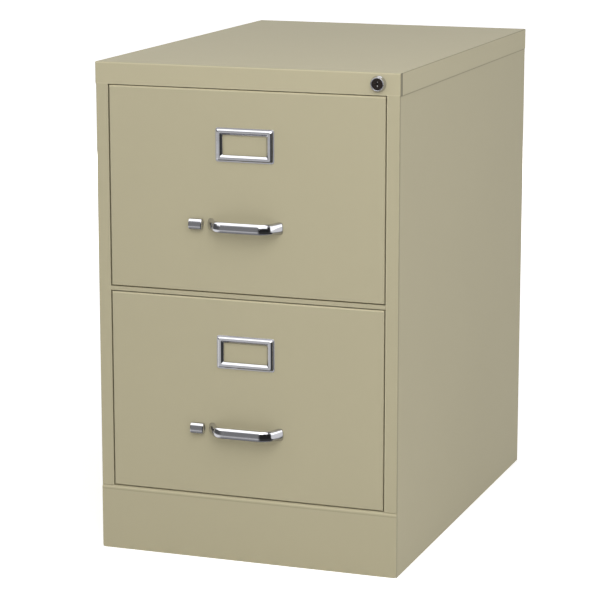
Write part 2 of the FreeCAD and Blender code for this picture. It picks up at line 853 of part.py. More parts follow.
def latch_button(level, height):
    """The chromed thumb piece with the stem that reaches through the drawer front."""
    label = f"{level}_latch_button"
    body = new_body(label, (stem_low, front - size.running_gap, height))
    outline = new_sketch(body, "outline", "XZ_Plane")
    draw_centred(outline, size.button_width, size.button_height, size.stem_width / 2)
    pad(body, "pad", outline, size.button_reach - size.running_gap)
    round_edges(body, "crown", size.button_round, lambda edge: runs_along(edge, X_AXIS)
                and lies_at(edge, Y_AXIS, size.running_gap - size.button_reach))
    bevel_edges(body, "ends", size.button_bevel, lambda edge: not runs_along(edge, X_AXIS)
                and not lies_at(edge, Y_AXIS, 0))
    stem = new_sketch(body, "stem", "XZ_Plane")
    draw_centred(stem, size.stem_width, size.stem_height, size.stem_width / 2)
    pad(body, "stem_pad", stem, size.latch_bar_setback + size.running_gap, True)
    return keep(body, label)


def latch_bar(level, height):
    """The flat bolt inside the drawer front; its slanted tip hooks behind the left stile."""
    label = f"{level}_latch_bar"
    tip = -(stile_inner + size.latch_bite)
    start = size.latch_bar_setback
    end = start + size.latch_bar_sheet
    body = new_body(label, (0, front, height - size.latch_bar_height / 2))
    outline = new_sketch(body, "outline", "XY_Plane")
    draw_outline(outline, [
        (tip, start),
        (spring_low, start),
        (spring_low, end + size.spring_width),
        (spring_low - size.latch_bar_sheet, end + size.spring_width),
        (spring_low - size.latch_bar_sheet, end),
        (tip + size.latch_bar_sheet, end),
        (tip, start + size.latch_bar_sheet / 4),
    ])
    pad(body, "pad", outline, size.latch_bar_height)
    return keep(body, label)


def latch_guide(level, height):
    """The folded bracket inside the drawer front that the latch's spring pushes against."""
    label = f"{level}_latch_guide"
    start = spring_low + size.spring_length
    depth = size.latch_bar_setback + size.latch_bar_sheet + size.spring_width
    body = new_body(label, (start, front, height - size.latch_bar_height / 2))
    outline = new_sketch(body, "outline", "XY_Plane")
    draw_outline(outline, [
        (0, size.front_sheet),
        (size.latch_bar_height, size.front_sheet),
        (size.latch_bar_height, size.front_sheet + size.rail_sheet),
        (size.rail_sheet, size.front_sheet + size.rail_sheet),
        (size.rail_sheet, depth),
        (0, depth),
    ])
    pad(body, "pad", outline, size.latch_bar_height)
    return keep(body, label)


def latch_spring(level, height):
    """The flat serpentine spring that pushes the latch bar out to the left."""
    label = f"{level}_latch_spring"
    low = size.latch_bar_setback + size.latch_bar_sheet
    high = low + size.spring_width
    pitch = (size.spring_length - size.spring_sheet) / (spring_folds + 1)
    edge = [(0, high), (0, low)]
    for fold in range(1, spring_folds + 1):
        edge.append((pitch * fold, high if fold % 2 else low))
    edge += [(pitch * (spring_folds + 1), low if spring_folds % 2 else high)]
    edge += [(pitch * (spring_folds + 1), high if spring_folds % 2 else low)]
    far_edge = [(along + size.spring_sheet, out) for along, out in reversed(edge)]
    body = folded(label, "XY_Plane", edge + far_edge, size.spring_height,
                  (spring_low, front, height - size.spring_height / 2))
    return keep(body, label)


def lock_lug(level, height):
    """The angle bracket on the right drawer side that the lock bar's tab holds back."""
    label = f"{level}_lock_lug"
    body = new_body(label, (tray_half, bar_rear + size.running_gap, height))
    outline = new_sketch(body, "outline", "XY_Plane")
    reach = size.slide_thickness - size.lug_gap
    draw_outline(outline, [
        (0, 0),
        (reach, 0),
        (reach, size.lug_sheet),
        (size.lug_sheet, size.lug_sheet),
        (size.lug_sheet, size.lug_length),
        (0, size.lug_length),
    ])
    pad(body, "pad", outline, size.lug_height)
    return keep(body, label)


# Lock

def lock_barrel():
    """The fixed barrel with its tapered bezel, bored for the core."""
    body = new_body("lock_barrel", (lock_x, front, lock_z))
    outline = new_sketch(body, "outline", "YZ_Plane")
    bore = size.core_radius + size.bore_gap
    draw_outline(outline, [
        (-size.bezel_reach, bore),
        (-size.bezel_reach, size.bezel_face_radius),
        (-size.bezel_rim, size.bezel_radius),
        (0, size.bezel_radius),
        (0, size.barrel_radius),
        (size.barrel_length, size.barrel_radius),
        (size.barrel_length, bore),
    ])
    turned = body.newObject("PartDesign::Revolution", "lock_barrel_turned")
    turned.Profile = outline
    turned.ReferenceAxis = (outline, ["H_Axis"])
    turned.Angle = 360
    return keep(body, "lock_barrel")


def lock_core():
    """The turning core with its keyway."""
    body = new_body("lock_core", (lock_x, front, lock_z))
    core_reach = size.bezel_reach - size.core_recess
    outline = new_sketch(body, "outline", "XZ_Plane", core_reach)
    draw_circle(outline, 0, 0, size.core_radius)
    pad(body, "pad", outline, core_reach + size.barrel_length + size.running_gap, True)
    keyway = new_sketch(body, "keyway", "XZ_Plane", core_reach)
    draw_centred(keyway, size.keyway_width, size.keyway_height)
    pocket(body, "keyway_cut", keyway, size.keyway_depth)
    return keep(body, "lock_core")


def lock_cam():
    """The cam on the back of the core, with the pin that lifts the lock bar."""
    start = front + size.barrel_length + size.running_gap
    far = size.cam_throw + size.cam_pin_radius + size.cam_margin
    near = -size.core_radius
    half = size.cam_pin_radius + size.cam_margin
    corners = [(near, -half), (far, -half), (far, half), (near, half)]
    turned = [((a + b) * half_turn_share, (b - a) * half_turn_share) for a, b in corners]
    lever = folded("lock_cam_lever", "XZ_Plane", turned, size.cam_sheet, (lock_x, start, lock_z), True)
    pin_place = (lock_x + size.cam_throw * half_turn_share, start, cam_rest_z)
    pin = rod("lock_cam_pin", pin_place, size.cam_pin_radius, bar_rear + size.running_gap - start, Y_AXIS)
    return keep(fuse("lock_cam", [lever, pin]), "lock_cam")


def lock_nut():
    """The hexagon nut that clamps the barrel to the rail behind the header."""
    prism = doc.addObject("Part::Prism", "lock_nut_prism")
    prism.Polygon = nut_sides
    bind(prism, "Circumradius", size.nut_width / 2 / math.cos(math.pi / nut_sides))
    bind(prism, "Height", size.nut_height)
    start = front + size.cover_sheet + size.rail_sheet
    place(prism, (lock_x, start, lock_z), FreeCAD.Rotation(Z_AXIS, Y_AXIS))
    bore_radius = size.barrel_radius + size.bore_gap
    bore = rod("lock_nut_bore", (lock_x, start, lock_z), bore_radius, size.nut_height, Y_AXIS)
    return keep(cut("lock_nut", prism, [bore]), "lock_nut")


def lock_bar():
    """The vertical bar behind the right stile, with an arm for the cam's pin and a tab for each drawer."""
    reach = size.cam_pin_radius + size.running_gap + size.bar_sheet
    top = cam_rest_z + reach
    arm_end = lock_x - size.cam_pin_radius
    solids = [
        block("lock_bar_strip", (bar_inner, bar_front, size.bar_foot), (bar_outer, bar_rear, top)),
        block("lock_bar_arm", (arm_end, bar_front, cam_rest_z - reach), (bar_outer, bar_rear, top)),
    ]
    for level, bottom in (("upper", upper_front_bottom), ("lower", lower_front_bottom)):
        high = bottom + lug_z - size.lug_gap
        low_corner = (bar_inner - size.tab_reach, bar_front, high - size.tab_height)
        solids.append(block(f"lock_bar_{level}_tab", low_corner, (bar_outer, bar_rear, high)))
    slot_end = lock_x + size.cam_throw + size.cam_pin_radius + size.running_gap
    slot = block("lock_bar_slot", (arm_end + size.bar_sheet, bar_front, cam_rest_z - cam_slot_half),
                 (slot_end, bar_rear, cam_rest_z + cam_slot_half))
    return keep(cut("lock_bar", fuse("lock_bar_solid", solids), [slot]), "lock_bar")


def lock_bar_guides():
    """Two folded guides on the right side panel that the lock bar slides in."""
    guides = []
    start = bar_front - size.running_gap - size.guide_sheet
    end = bar_rear + size.running_gap + size.guide_sheet
    for level, bottom in (("lower", lower_front_bottom), ("upper", upper_front_bottom)):
        low = bottom + front_height / 2
        high = low + size.guide_height
        outer = block(f"{level}_guide_outer", (bar_inner + size.running_gap, start, low),
                      (panel_inner, end, high))
        hollow = block(f"{level}_guide_hollow", (bar_inner, start + size.guide_sheet, low),
                       (panel_inner - size.guide_sheet, end - size.guide_sheet, high))
        guides.append(cut(f"{level}_guide", outer, [hollow]))
    return keep(group("lock_bar_guides", guides), "lock_bar_guides")


# Whole drawers and the whole case

def drawer(level, bottom):
    """Every piece of one drawer, its slides and its latch."""
    drawer_front(level, bottom)
    front_liner(level, bottom)
    for side, word in ((-1, "left"), (1, "right")):
        tray_side(level, word, side, bottom)
    tray_pan(level, bottom)
    bow_handle(level, bottom + handle_z)
    label_holder(level, bottom + label_z)
    latch_button(level, bottom + handle_z)
    latch_bar(level, bottom + handle_z)
    latch_guide(level, bottom + handle_z)
    latch_spring(level, bottom + handle_z)
    lock_lug(level, bottom + lug_z)
    slides(level, bottom + size.slide_lift)


def case():
    """The sheet-metal case with its rails and uprights."""
    latch_heights = [bottom + handle_z for bottom in (lower_front_bottom, upper_front_bottom)]
    side_panel("left_side_panel", -1, latch_heights)
    side_panel("right_side_panel", 1, [])
    back_panel()
    top_cover()
    front_top_rail()
    base_panel()
    divider_rail()
    rear_foot_rail()
    for side, word in ((-1, "left"), (1, "right")):
        upright(f"{word}_front_upright", side, front + size.upright_setback)
        upright(f"{word}_rear_upright", side, rear - size.upright_setback - size.upright_width)


def lock():
    """The lock in the header and the bar that it lifts."""
    lock_barrel()
    lock_nut()
    lock_core()
    lock_cam()
    lock_bar()
    lock_bar_guides()


def check_and_write():
    """Stops on any failed object or unsound piece, then writes one STEP file for each piece."""
    doc.recompute()
    for item in doc.Objects:
        if "Invalid" in item.State or "Error" in item.State:
            raise RuntimeError(f"{item.Name} failed: {item.State}")
    for item in nodes:
        if item.Shape.isNull() or not item.Shape.isValid():
            raise RuntimeError(f"{item.Label} has no sound shape")
    os.makedirs("parts", exist_ok=True)
    for item in nodes:
        item.Shape.exportStep(f"parts/{item.Label}.step")


case()
drawer("lower", lower_front_bottom)
drawer("upper", upper_front_bottom)
lock()
check_and_write()
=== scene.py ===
import json
import logging
import math
from abc import ABC, abstractmethod
from dataclasses import dataclass
from enum import Enum

import bmesh
import bpy
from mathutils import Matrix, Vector

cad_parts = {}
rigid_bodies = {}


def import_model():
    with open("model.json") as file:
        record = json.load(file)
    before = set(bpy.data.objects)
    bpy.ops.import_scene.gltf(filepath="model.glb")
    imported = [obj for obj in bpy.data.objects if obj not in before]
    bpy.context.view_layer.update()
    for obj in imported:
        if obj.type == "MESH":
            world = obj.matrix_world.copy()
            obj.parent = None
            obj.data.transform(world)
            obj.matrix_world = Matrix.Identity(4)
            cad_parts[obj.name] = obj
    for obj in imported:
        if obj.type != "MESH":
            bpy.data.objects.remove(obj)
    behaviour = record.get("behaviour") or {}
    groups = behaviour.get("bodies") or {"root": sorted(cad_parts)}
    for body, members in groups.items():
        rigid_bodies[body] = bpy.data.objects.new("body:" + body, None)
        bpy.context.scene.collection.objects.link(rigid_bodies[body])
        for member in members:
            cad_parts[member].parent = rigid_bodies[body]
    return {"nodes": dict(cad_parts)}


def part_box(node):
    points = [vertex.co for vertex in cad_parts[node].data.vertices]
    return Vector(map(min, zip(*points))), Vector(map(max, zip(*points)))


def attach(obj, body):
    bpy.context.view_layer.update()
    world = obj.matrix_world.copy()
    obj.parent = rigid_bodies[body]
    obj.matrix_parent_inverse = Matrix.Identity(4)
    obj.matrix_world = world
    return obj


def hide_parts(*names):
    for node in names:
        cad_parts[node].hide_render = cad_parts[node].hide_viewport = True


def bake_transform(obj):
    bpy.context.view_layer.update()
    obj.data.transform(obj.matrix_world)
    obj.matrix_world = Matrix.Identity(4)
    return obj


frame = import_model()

MM = 0.001
IMAGE_PIXELS = 600
SENSOR_MM = 36.0
WHITE = (1.0, 1.0, 1.0, 1.0)

Point = tuple[float, float, float]
Band = tuple[float, float]
Outline = list[tuple[float, float]]
Socket = bpy.types.NodeSocket
Sockets = bpy.types.bpy_prop_collection
Shape = bmesh.types.BMesh

log = logging.getLogger("filing_cabinet")


class Level(Enum):
    """The two drawers of the cabinet."""

    UPPER = "upper"
    LOWER = "lower"


class Side(Enum):
    """The two sides of the cabinet, as signs along X."""

    LEFT = -1
    RIGHT = 1


class Carrier(Enum):
    """Bodies of the frame that new pieces ride on."""

    CABINET = "cabinet"
    LOCK_PLUG = "lock_plug"
    DRAWER = "drawer"
    LATCH = "latch"
    OUTER_CAGES = "outer_cages"
    INNER_CAGES = "inner_cages"

    def body(self, level: Level | None = None) -> str:
        """The body's full name, with its drawer in front where it belongs to one."""
        return f"{level.value}_{self.value}" if level else self.value


class Chart:
    """A node tree under construction, with short calls to add nodes and links."""

    def __init__(self, tree: bpy.types.NodeTree) -> None:
        """Takes the empty shader or geometry tree that nodes are added to."""
        self.tree = tree

    def add(self, kind: str, inputs: dict | None = None, **settings: object) -> bpy.types.Node:
        """Adds one node.

        Args:
            kind: the node's type name.
            inputs: values or output sockets for its inputs, by name or number.
            settings: properties set on the node itself.

        Returns:
            The new node.
        """
        node = self.tree.nodes.new(kind)
        for name, value in settings.items():
            setattr(node, name, value)
        for key, value in (inputs or {}).items():
            if isinstance(value, Socket):
                self.tree.links.new(value, node.inputs[key])
            else:
                node.inputs[key].default_value = value
        return node

    def first(self, kind: str, inputs: dict | None = None, **settings: object) -> Socket:
        """Adds one node as add does and returns its first output."""
        return self.add(kind, inputs, **settings).outputs[0]

    def place(self) -> Socket:
        """The place on the object, in its own coordinates."""
        return self.add("ShaderNodeTexCoord").outputs["Object"]

    def parts(self, vector: Socket) -> Sockets:
        """A vector's X, Y and Z."""
        return self.add("ShaderNodeSeparateXYZ", {"Vector": vector}).outputs

    def vector(self, **parts: object) -> Socket:
        """A vector put together from amounts for X, Y and Z."""
        return self.first("ShaderNodeCombineXYZ", parts)

    def math(self, operation: str, *values: object) -> Socket:
        """Adds a Math node and returns its output."""
        return self.first("ShaderNodeMath", dict(enumerate(values)), operation=operation)

    def noise(self, place: Socket, scale: object, detail: float) -> Socket:
        """Adds a noise over the object and returns its amount."""
        return self.first("ShaderNodeTexNoise", {"Vector": place, "Scale": scale, "Detail": detail})

    def scaled(self, colour: Socket, share: Socket) -> Socket:
        """A colour made lighter or darker by a share."""
        return self.first("ShaderNodeVectorMath", {0: colour, 3: share}, operation="SCALE")

    def ramp(
        self, value: Socket, start: object, end: object, low: object = 0.0, high: object = 1.0,
        kind: str = "SMOOTHSTEP",
    ) -> Socket:
        """Adds a step from low to high while the value goes from start to end."""
        inputs = {"Value": value, "From Min": start, "From Max": end, "To Min": low, "To Max": high}
        return self.first("ShaderNodeMapRange", inputs, interpolation_type=kind)

    def blend(self, share: Socket, first: object, second: object) -> Socket:
        """Adds a Mix node between two amounts and returns its output."""
        return self.first("ShaderNodeMix", {0: share, 2: first, 3: second}, data_type="FLOAT")


class EffectGroup(ABC):
    """A shader effect that several materials share, built once as a node group."""

    name: str
    inputs: dict[str, object]
    outputs: tuple[str, ...]
    made: bpy.types.NodeTree | None = None

    @classmethod
    def use(cls, chart: Chart, values: dict[str, object]) -> Sockets:
        """Adds the effect to a material.

        Args:
            chart: the material's chart.
            values: amounts or sockets for the group's inputs, by name.

        Returns:
            The effect's outputs.
        """
        if cls.made is None:
            cls.made = bpy.data.node_groups.new(cls.name, "ShaderNodeTree")
            kinds = {True: "NodeSocketColor", False: "NodeSocketFloat"}
            for name, value in cls.inputs.items():
                kind = kinds[name == "Colour"]
                cls.made.interface.new_socket(name, in_out="INPUT", socket_type=kind).default_value = value
            for name in cls.outputs:
                cls.made.interface.new_socket(name, in_out="OUTPUT", socket_type=kinds[name == "Colour"])
            inner = Chart(cls.made)
            inner.add("NodeGroupOutput", cls.fill(inner, inner.add("NodeGroupInput").outputs))
        return chart.add("ShaderNodeGroup", values, node_tree=cls.made).outputs

    @classmethod
    @abstractmethod
    def fill(cls, chart: Chart, given: Sockets) -> dict[str, Socket]:
        """Adds the effect's nodes.

        Args:
            chart: the group's chart.
            given: the group's inputs.

        Returns:
            What the group gives, by the outputs' names.
        """


class ShadeDrift(EffectGroup):
    """Slow light and dark drift of a coat's colour over large surfaces."""

    name = "shade_drift"
    inputs = {"Colour": (0.5, 0.5, 0.5, 1.0), "Scale": 3.0, "Share": 0.03}
    outputs = ("Colour",)

    @classmethod
    def fill(cls, chart: Chart, given: Sockets) -> dict[str, Socket]:
        """Scales the colour by a slow noise.

        Args:
            chart: the group's chart.
            given: the group's inputs.

        Returns:
            The shaded colour.
        """
        drift = chart.math("SUBTRACT", chart.noise(chart.place(), given["Scale"], detail=3.0), 0.5)
        level = chart.math("ADD", chart.math("MULTIPLY", drift, given["Share"]), 1.0)
        return {"Colour": chart.scaled(given["Colour"], level)}


class OrangePeel(EffectGroup):
    """The fine ripple of sprayed enamel, with the sheet's own slight waviness under it."""

    name = "orange_peel"
    inputs = {"Ripple scale": 420.0, "Ripple": 0.5, "Wave scale": 7.0, "Wave": 0.5}
    outputs = ("Height", "Cloud")

    @classmethod
    def fill(cls, chart: Chart, given: Sockets) -> dict[str, Socket]:
        """Adds a fine ripple and a coarse wave into one height.

        Args:
            chart: the group's chart.
            given: the group's inputs.

        Returns:
            The height, and the ripple alone as a cloud.
        """
        place = chart.place()
        ripple = chart.noise(place, given["Ripple scale"], detail=2.0)
        wave = chart.noise(place, given["Wave scale"], detail=1.0)
        fine = chart.math("MULTIPLY", ripple, given["Ripple"])
        broad = chart.math("MULTIPLY", wave, given["Wave"])
        return {"Height": chart.math("ADD", fine, broad), "Cloud": ripple}


class PaintedShadingGroup(EffectGroup):
    """A painted line between two places along an axis: darker for painted shade, lighter for a painted
    highlight.
    """

    name = "painted_shading_group"
    inputs = {"Place": 0.0, "Start": 0.0, "End": 1.0 * MM, "Fade": 0.3 * MM, "Facing": 1.0, "Tone": -0.3}
    outputs = ("Shade",)
    facing_band: Band = (0.5, 0.8)

    @classmethod
    def fill(cls, chart: Chart, given: Sockets) -> dict[str, Socket]:
        """Fades a tone in and out between two places and leaves the rest at one.

        Args:
            chart: the group's chart.
            given: the group's inputs.

        Returns:
            The colour's share.
        """
        before = chart.math("SUBTRACT", given["Start"], given["Fade"])
        after = chart.math("ADD", given["End"], given["Fade"])
        rise = chart.ramp(given["Place"], before, given["Start"])
        line = chart.math("SUBTRACT", rise, chart.ramp(given["Place"], given["End"], after))
        seen = chart.math("MULTIPLY", line, chart.ramp(given["Facing"], *cls.facing_band))
        return {"Shade": chart.math("ADD", chart.math("MULTIPLY", seen, given["Tone"]), 1.0)}


class PolishGrain(EffectGroup):
    """The lines and haze that buffing or rolling leaves on metal."""

    name = "polish_grain"
    inputs = {"Scale": 300.0, "Stretch": 0.05, "Haze scale": 60.0, "Low": 0.1, "High": 0.2}
    outputs = ("Roughness", "Height")
    haze_band: Band = (0.1, 0.45)

    @classmethod
    def fill(cls, chart: Chart, given: Sockets) -> dict[str, Socket]:
        """Stretches a noise along one axis and adds a cloudy haze.

        Args:
            chart: the group's chart.
            given: the group's inputs.

        Returns:
            Roughness and height.
        """
        place = chart.place()
        shape = chart.vector(X=given["Stretch"], Y=1.0, Z=1.0)
        drawn = chart.first("ShaderNodeVectorMath", {0: place, 1: shape}, operation="MULTIPLY")
        lines = chart.noise(drawn, given["Scale"], detail=4.0)
        haze = chart.noise(place, given["Haze scale"], detail=2.0)
        both = chart.math("MULTIPLY", lines, haze)
        rough = chart.ramp(both, *cls.haze_band, given["Low"], given["High"], "LINEAR")
        return {"Roughness": rough, "Height": lines}


@dataclass(frozen=True)
class Finish(ABC):
    """A surface finish that makes its own material once."""

    name: str

    def material(self) -> bpy.types.Material:
        """The finish's material, built on first use."""
        return bpy.data.materials.get(self.name) or self.build()

    def build(self) -> bpy.types.Material:
        """Makes the material.

        Returns:
            The new material, a Principled shader with the finish's inputs.
        """
        material = bpy.data.materials.new(self.name)
        material.use_nodes = True
        material.node_tree.nodes.clear()
        chart = Chart(material.node_tree)
        shader = chart.first("ShaderNodeBsdfPrincipled", self.shading(chart))
        chart.add("ShaderNodeOutputMaterial", {"Surface": shader})
        return material

    def dress(self, *pieces: bpy.types.Object) -> None:
        """Gives the finish to whole objects.

        Args:
            pieces: the objects, whose other materials go.
        """
        for piece in pieces:
            piece.data.materials.clear()
            piece.data.materials.append(self.material())

    @abstractmethod
    def shading(self, chart: Chart) -> dict[str, object]:
        """Adds the finish's nodes.

        Args:
            chart: the material's chart.

        Returns:
            Amounts and sockets for the shader's inputs, by name.
        """


@dataclass(frozen=True)
class PaintedShadingLine:
    """A painted line over an enamelled sheet: painted shade where its tone is below zero, a painted
    highlight where it is above.

    The line lies between start and end along the axis, on faces that look along the facing axis.
    """

    axis: str
    start: float
    end: float
    facing: str
    tone: float
    fade: float = 0.3 * MM

    def shade(self, chart: Chart) -> Socket:
        """Adds the line to a material.

        Args:
            chart: the material's chart.

        Returns:
            The line's share of the colour.
        """
        where = chart.add("ShaderNodeTexCoord").outputs
        line = {
            "Place": chart.parts(where["Object"])[self.axis], "Start": self.start, "End": self.end,
            "Facing": chart.math("ABSOLUTE", chart.parts(where["Normal"])[self.facing]),
            "Fade": self.fade, "Tone": self.tone,
        }
        return PaintedShadingGroup.use(chart, line)["Shade"]


@dataclass(frozen=True)
class EnamelFinish(Finish):
    """Baked semi-gloss enamel on sheet steel."""

    colour: Point = (0.470, 0.428, 0.290)
    painted_lines: tuple[PaintedShadingLine, ...] = ()
    roughness_low: float = 0.46
    roughness_high: float = 0.56
    drift_scale: float = 2.2
    drift_share: float = 0.07
    ripple: float = 0.4
    wave: float = 0.8
    depth: float = 0.09 * MM
    bump: float = 0.5
    specular: float = 0.12

    def shading(self, chart: Chart) -> dict[str, object]:
        """Enamel colour with slow drift and painted shade and highlight lines, rippled gloss and a fine
        peel.

        Args:
            chart: the material's chart.

        Returns:
            The shader's inputs.
        """
        drift = {"Colour": (*self.colour, 1.0), "Scale": self.drift_scale, "Share": self.drift_share}
        coat = ShadeDrift.use(chart, drift)["Colour"]
        # painted shade and highlight lines scale the coat's colour
        for painted_line in self.painted_lines:
            coat = chart.scaled(coat, painted_line.shade(chart))
        peel = OrangePeel.use(chart, {"Ripple": self.ripple, "Wave": self.wave})
        bump = {"Height": peel["Height"], "Distance": self.depth, "Strength": self.bump}
        return {
            "Base Color": coat,
            "Roughness": chart.ramp(
                peel["Cloud"], 0.0, 1.0, self.roughness_low, self.roughness_high, "LINEAR",
            ),
            "Normal": chart.first("ShaderNodeBump", bump),
            "Specular IOR Level": self.specular,
        }


@dataclass(frozen=True)
class MetalFinish(Finish):
    """A plated, rolled or polished metal."""

    colour: Point
    roughness_low: float
    roughness_high: float
    grain_scale: float = 300.0
    stretch: float = 0.05
    haze_scale: float = 60.0
    depth: float = 0.04 * MM
    bump: float = 0.4
    drift_scale: float = 30.0
    drift_share: float = 0.06

    def shading(self, chart: Chart) -> dict[str, object]:
        """Metal with drawn grain, haze and a slight cast in its colour.

        Args:
            chart: the material's chart.

        Returns:
            The shader's inputs.
        """
        drift = {"Colour": (*self.colour, 1.0), "Scale": self.drift_scale, "Share": self.drift_share}
        grain = PolishGrain.use(chart, {
            "Scale": self.grain_scale, "Stretch": self.stretch, "Haze scale": self.haze_scale,
            "Low": self.roughness_low, "High": self.roughness_high,
        })
        bump = {"Height": grain["Height"], "Distance": self.depth, "Strength": self.bump}
        return {
            "Base Color": ShadeDrift.use(chart, drift)["Colour"],
            "Roughness": grain["Roughness"],
            "Normal": chart.first("ShaderNodeBump", bump),
            "Metallic": 1.0,
        }


@dataclass(frozen=True)
class FloorFinish(Finish):
    """The pale studio floor, which shows white to the camera and keeps the shadow."""

    colour: Point = (0.86, 0.86, 0.86)
    specular: float = 0.1
    near_lift: float = 0.53
    far_lift: float = 0.72
    near: float = 0.9
    far: float = 2.6
    speckle_scale: float = 40.0
    roughness_low: float = 0.85
    roughness_high: float = 0.95

    def shading(self, chart: Chart) -> dict[str, object]:
        """A matt floor with added white where the camera or a mirror looks at it.

        Args:
            chart: the material's chart.

        Returns:
            The shader's inputs.
        """
        path = chart.add("ShaderNodeLightPath").outputs
        seen = chart.math("MAXIMUM", path["Is Camera Ray"], path["Is Glossy Ray"])
        shown = chart.math("MAXIMUM", seen, path["Is Transmission Ray"])
        place = chart.place()
        away = chart.add("ShaderNodeVectorMath", {0: place}, operation="LENGTH").outputs["Value"]
        lift = chart.ramp(away, self.near, self.far, self.near_lift, self.far_lift)
        speckle = chart.noise(place, self.speckle_scale, detail=2.0)
        return {
            "Base Color": (*self.colour, 1.0),
            "Roughness": chart.ramp(speckle, 0.0, 1.0, self.roughness_low, self.roughness_high),
            "Emission Strength": chart.math("MULTIPLY", shown, lift),
            "Emission Color": WHITE,
            "Specular IOR Level": self.specular,
        }


ENAMEL = EnamelFinish("putty_enamel")
CHROME = MetalFinish("bright_chrome", (0.56, 0.56, 0.59), 0.07, 0.17, grain_scale=160.0, stretch=0.3)
ZINC = MetalFinish("zinc_plate", (0.60, 0.61, 0.62), 0.26, 0.42)
SPRING_STEEL = MetalFinish("spring_steel", (0.33, 0.33, 0.35), 0.22, 0.36)
ROLLER_STEEL = MetalFinish("roller_steel", (0.68, 0.68, 0.70), 0.10, 0.20)
DARK_PLATE = MetalFinish(
    "dark_lock_plate", (0.055, 0.045, 0.04), 0.16, 0.34, grain_scale=500.0, stretch=1.0
)
WAFER_NICKEL = MetalFinish("wafer_nickel", (0.80, 0.78, 0.74), 0.10, 0.22)


def nodes_named(*parts: str) -> list[bpy.types.Object]:
    """The frame's nodes whose names hold every given word."""
    return [node for name, node in frame["nodes"].items() if all(part in name for part in parts)]


def extent(node: str) -> tuple[Vector, Vector]:
    """The lowest and highest corner of a node of the frame, in metres."""
    low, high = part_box(node)
    return Vector(low), Vector(high)


def placed(name: str, data: bpy.types.ID) -> bpy.types.Object:
    """Makes an object of the scene.

    Args:
        name: its name.
        data: its mesh, lamp or lens.

    Returns:
        The new object, at the origin.
    """
    thing = bpy.data.objects.new(name, data)
    bpy.context.scene.collection.objects.link(thing)
    return thing


def piece_from(
    name: str, shape: Shape, smooth: bool = True, limit: float | None = None
) -> bpy.types.Object:
    """Turns a bmesh into an object of the scene.

    Args:
        name: the piece's name.
        shape: the finished bmesh, which is freed.
        smooth: whether its faces are shaded smoothly.
        limit: where given, large faces shade flat, as weigh_normals says.

    Returns:
        The new object, at the origin.
    """
    mesh = bpy.data.meshes.new(name)
    bmesh.ops.recalc_face_normals(shape, faces=shape.faces)
    for face in shape.faces:
        face.smooth = smooth
    shape.to_mesh(mesh)
    shape.free()
    if limit is not None:
        weigh_normals(mesh, limit)
    return placed(name, mesh)


def weigh_normals(mesh: bpy.types.Mesh, limit: float) -> None:
    """Lets large faces shade flat and narrow ones between them shade round.

    Args:
        mesh: the mesh, all of whose faces shade smoothly.
        limit: the cosine above which two faces at a point share their shading.
    """
    around: dict[int, list[tuple[Vector, float]]] = {}
    for face in mesh.polygons:
        for corner in face.vertices:
            around.setdefault(corner, []).append((face.normal.copy(), face.area))
    normals = []
    for face in mesh.polygons:
        for corner in face.vertices:
            total = Vector((0.0, 0.0, 0.0))
            for normal, area in around[corner]:
                if normal.dot(face.normal) > limit:
                    total += normal * area
            normals.append(total.normalized() if total.length > 0.0 else face.normal)
    mesh.normals_split_custom_set(normals)


def loft(shape: Shape, rings: list[list[Point]], joined: bool = False) -> None:
    """Skins a row of closed rings.

    Args:
        shape: the bmesh that the skin is added to.
        rings: the rings in order, all with the same number of points.
        joined: whether the last ring joins the first. Otherwise both ends are closed.
    """
    loops = [[shape.verts.new(point) for point in ring] for ring in rings]
    followers = loops[1:] + loops[:1] if joined else loops[1:]
    for first, second in zip(loops, followers):
        for number in range(len(first)):
            after = (number + 1) % len(first)
            shape.faces.new((first[number], first[after], second[after], second[number]))
    if not joined:
        shape.faces.new(loops[0])
        shape.faces.new(loops[-1])


def add_box(shape: Shape, middle: Point, sides: Point) -> None:
    """Adds a box to a bmesh.

    Args:
        shape: the bmesh.
        middle: the box's middle.
        sides: its length along each axis.
    """
    corners = bmesh.ops.create_cube(shape, size=1.0)["verts"]
    bmesh.ops.scale(shape, verts=corners, vec=sides)
    bmesh.ops.translate(shape, verts=corners, vec=middle)


def quarter_turn(steps: int, quarter: int = 0) -> list[float]:
    """The angles of an arc of 90 degrees, from the start of one of the four quarters."""
    return [math.pi / 2 * (quarter + number / steps) for number in range(steps + 1)]


def stand_for(piece: bpy.types.Object, finish: Finish, body: str, slot: str, *nodes: str) -> None:
    """Dresses a new piece and gives it its place in the frame.

    Args:
        piece: the finished piece.
        finish: what it is dressed with.
        body: the body that it rides on.
        slot: not used.
        nodes: the nodes that it stands for.
    """
    finish.dress(piece)
    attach(piece, body)
    if nodes:
        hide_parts(*nodes)


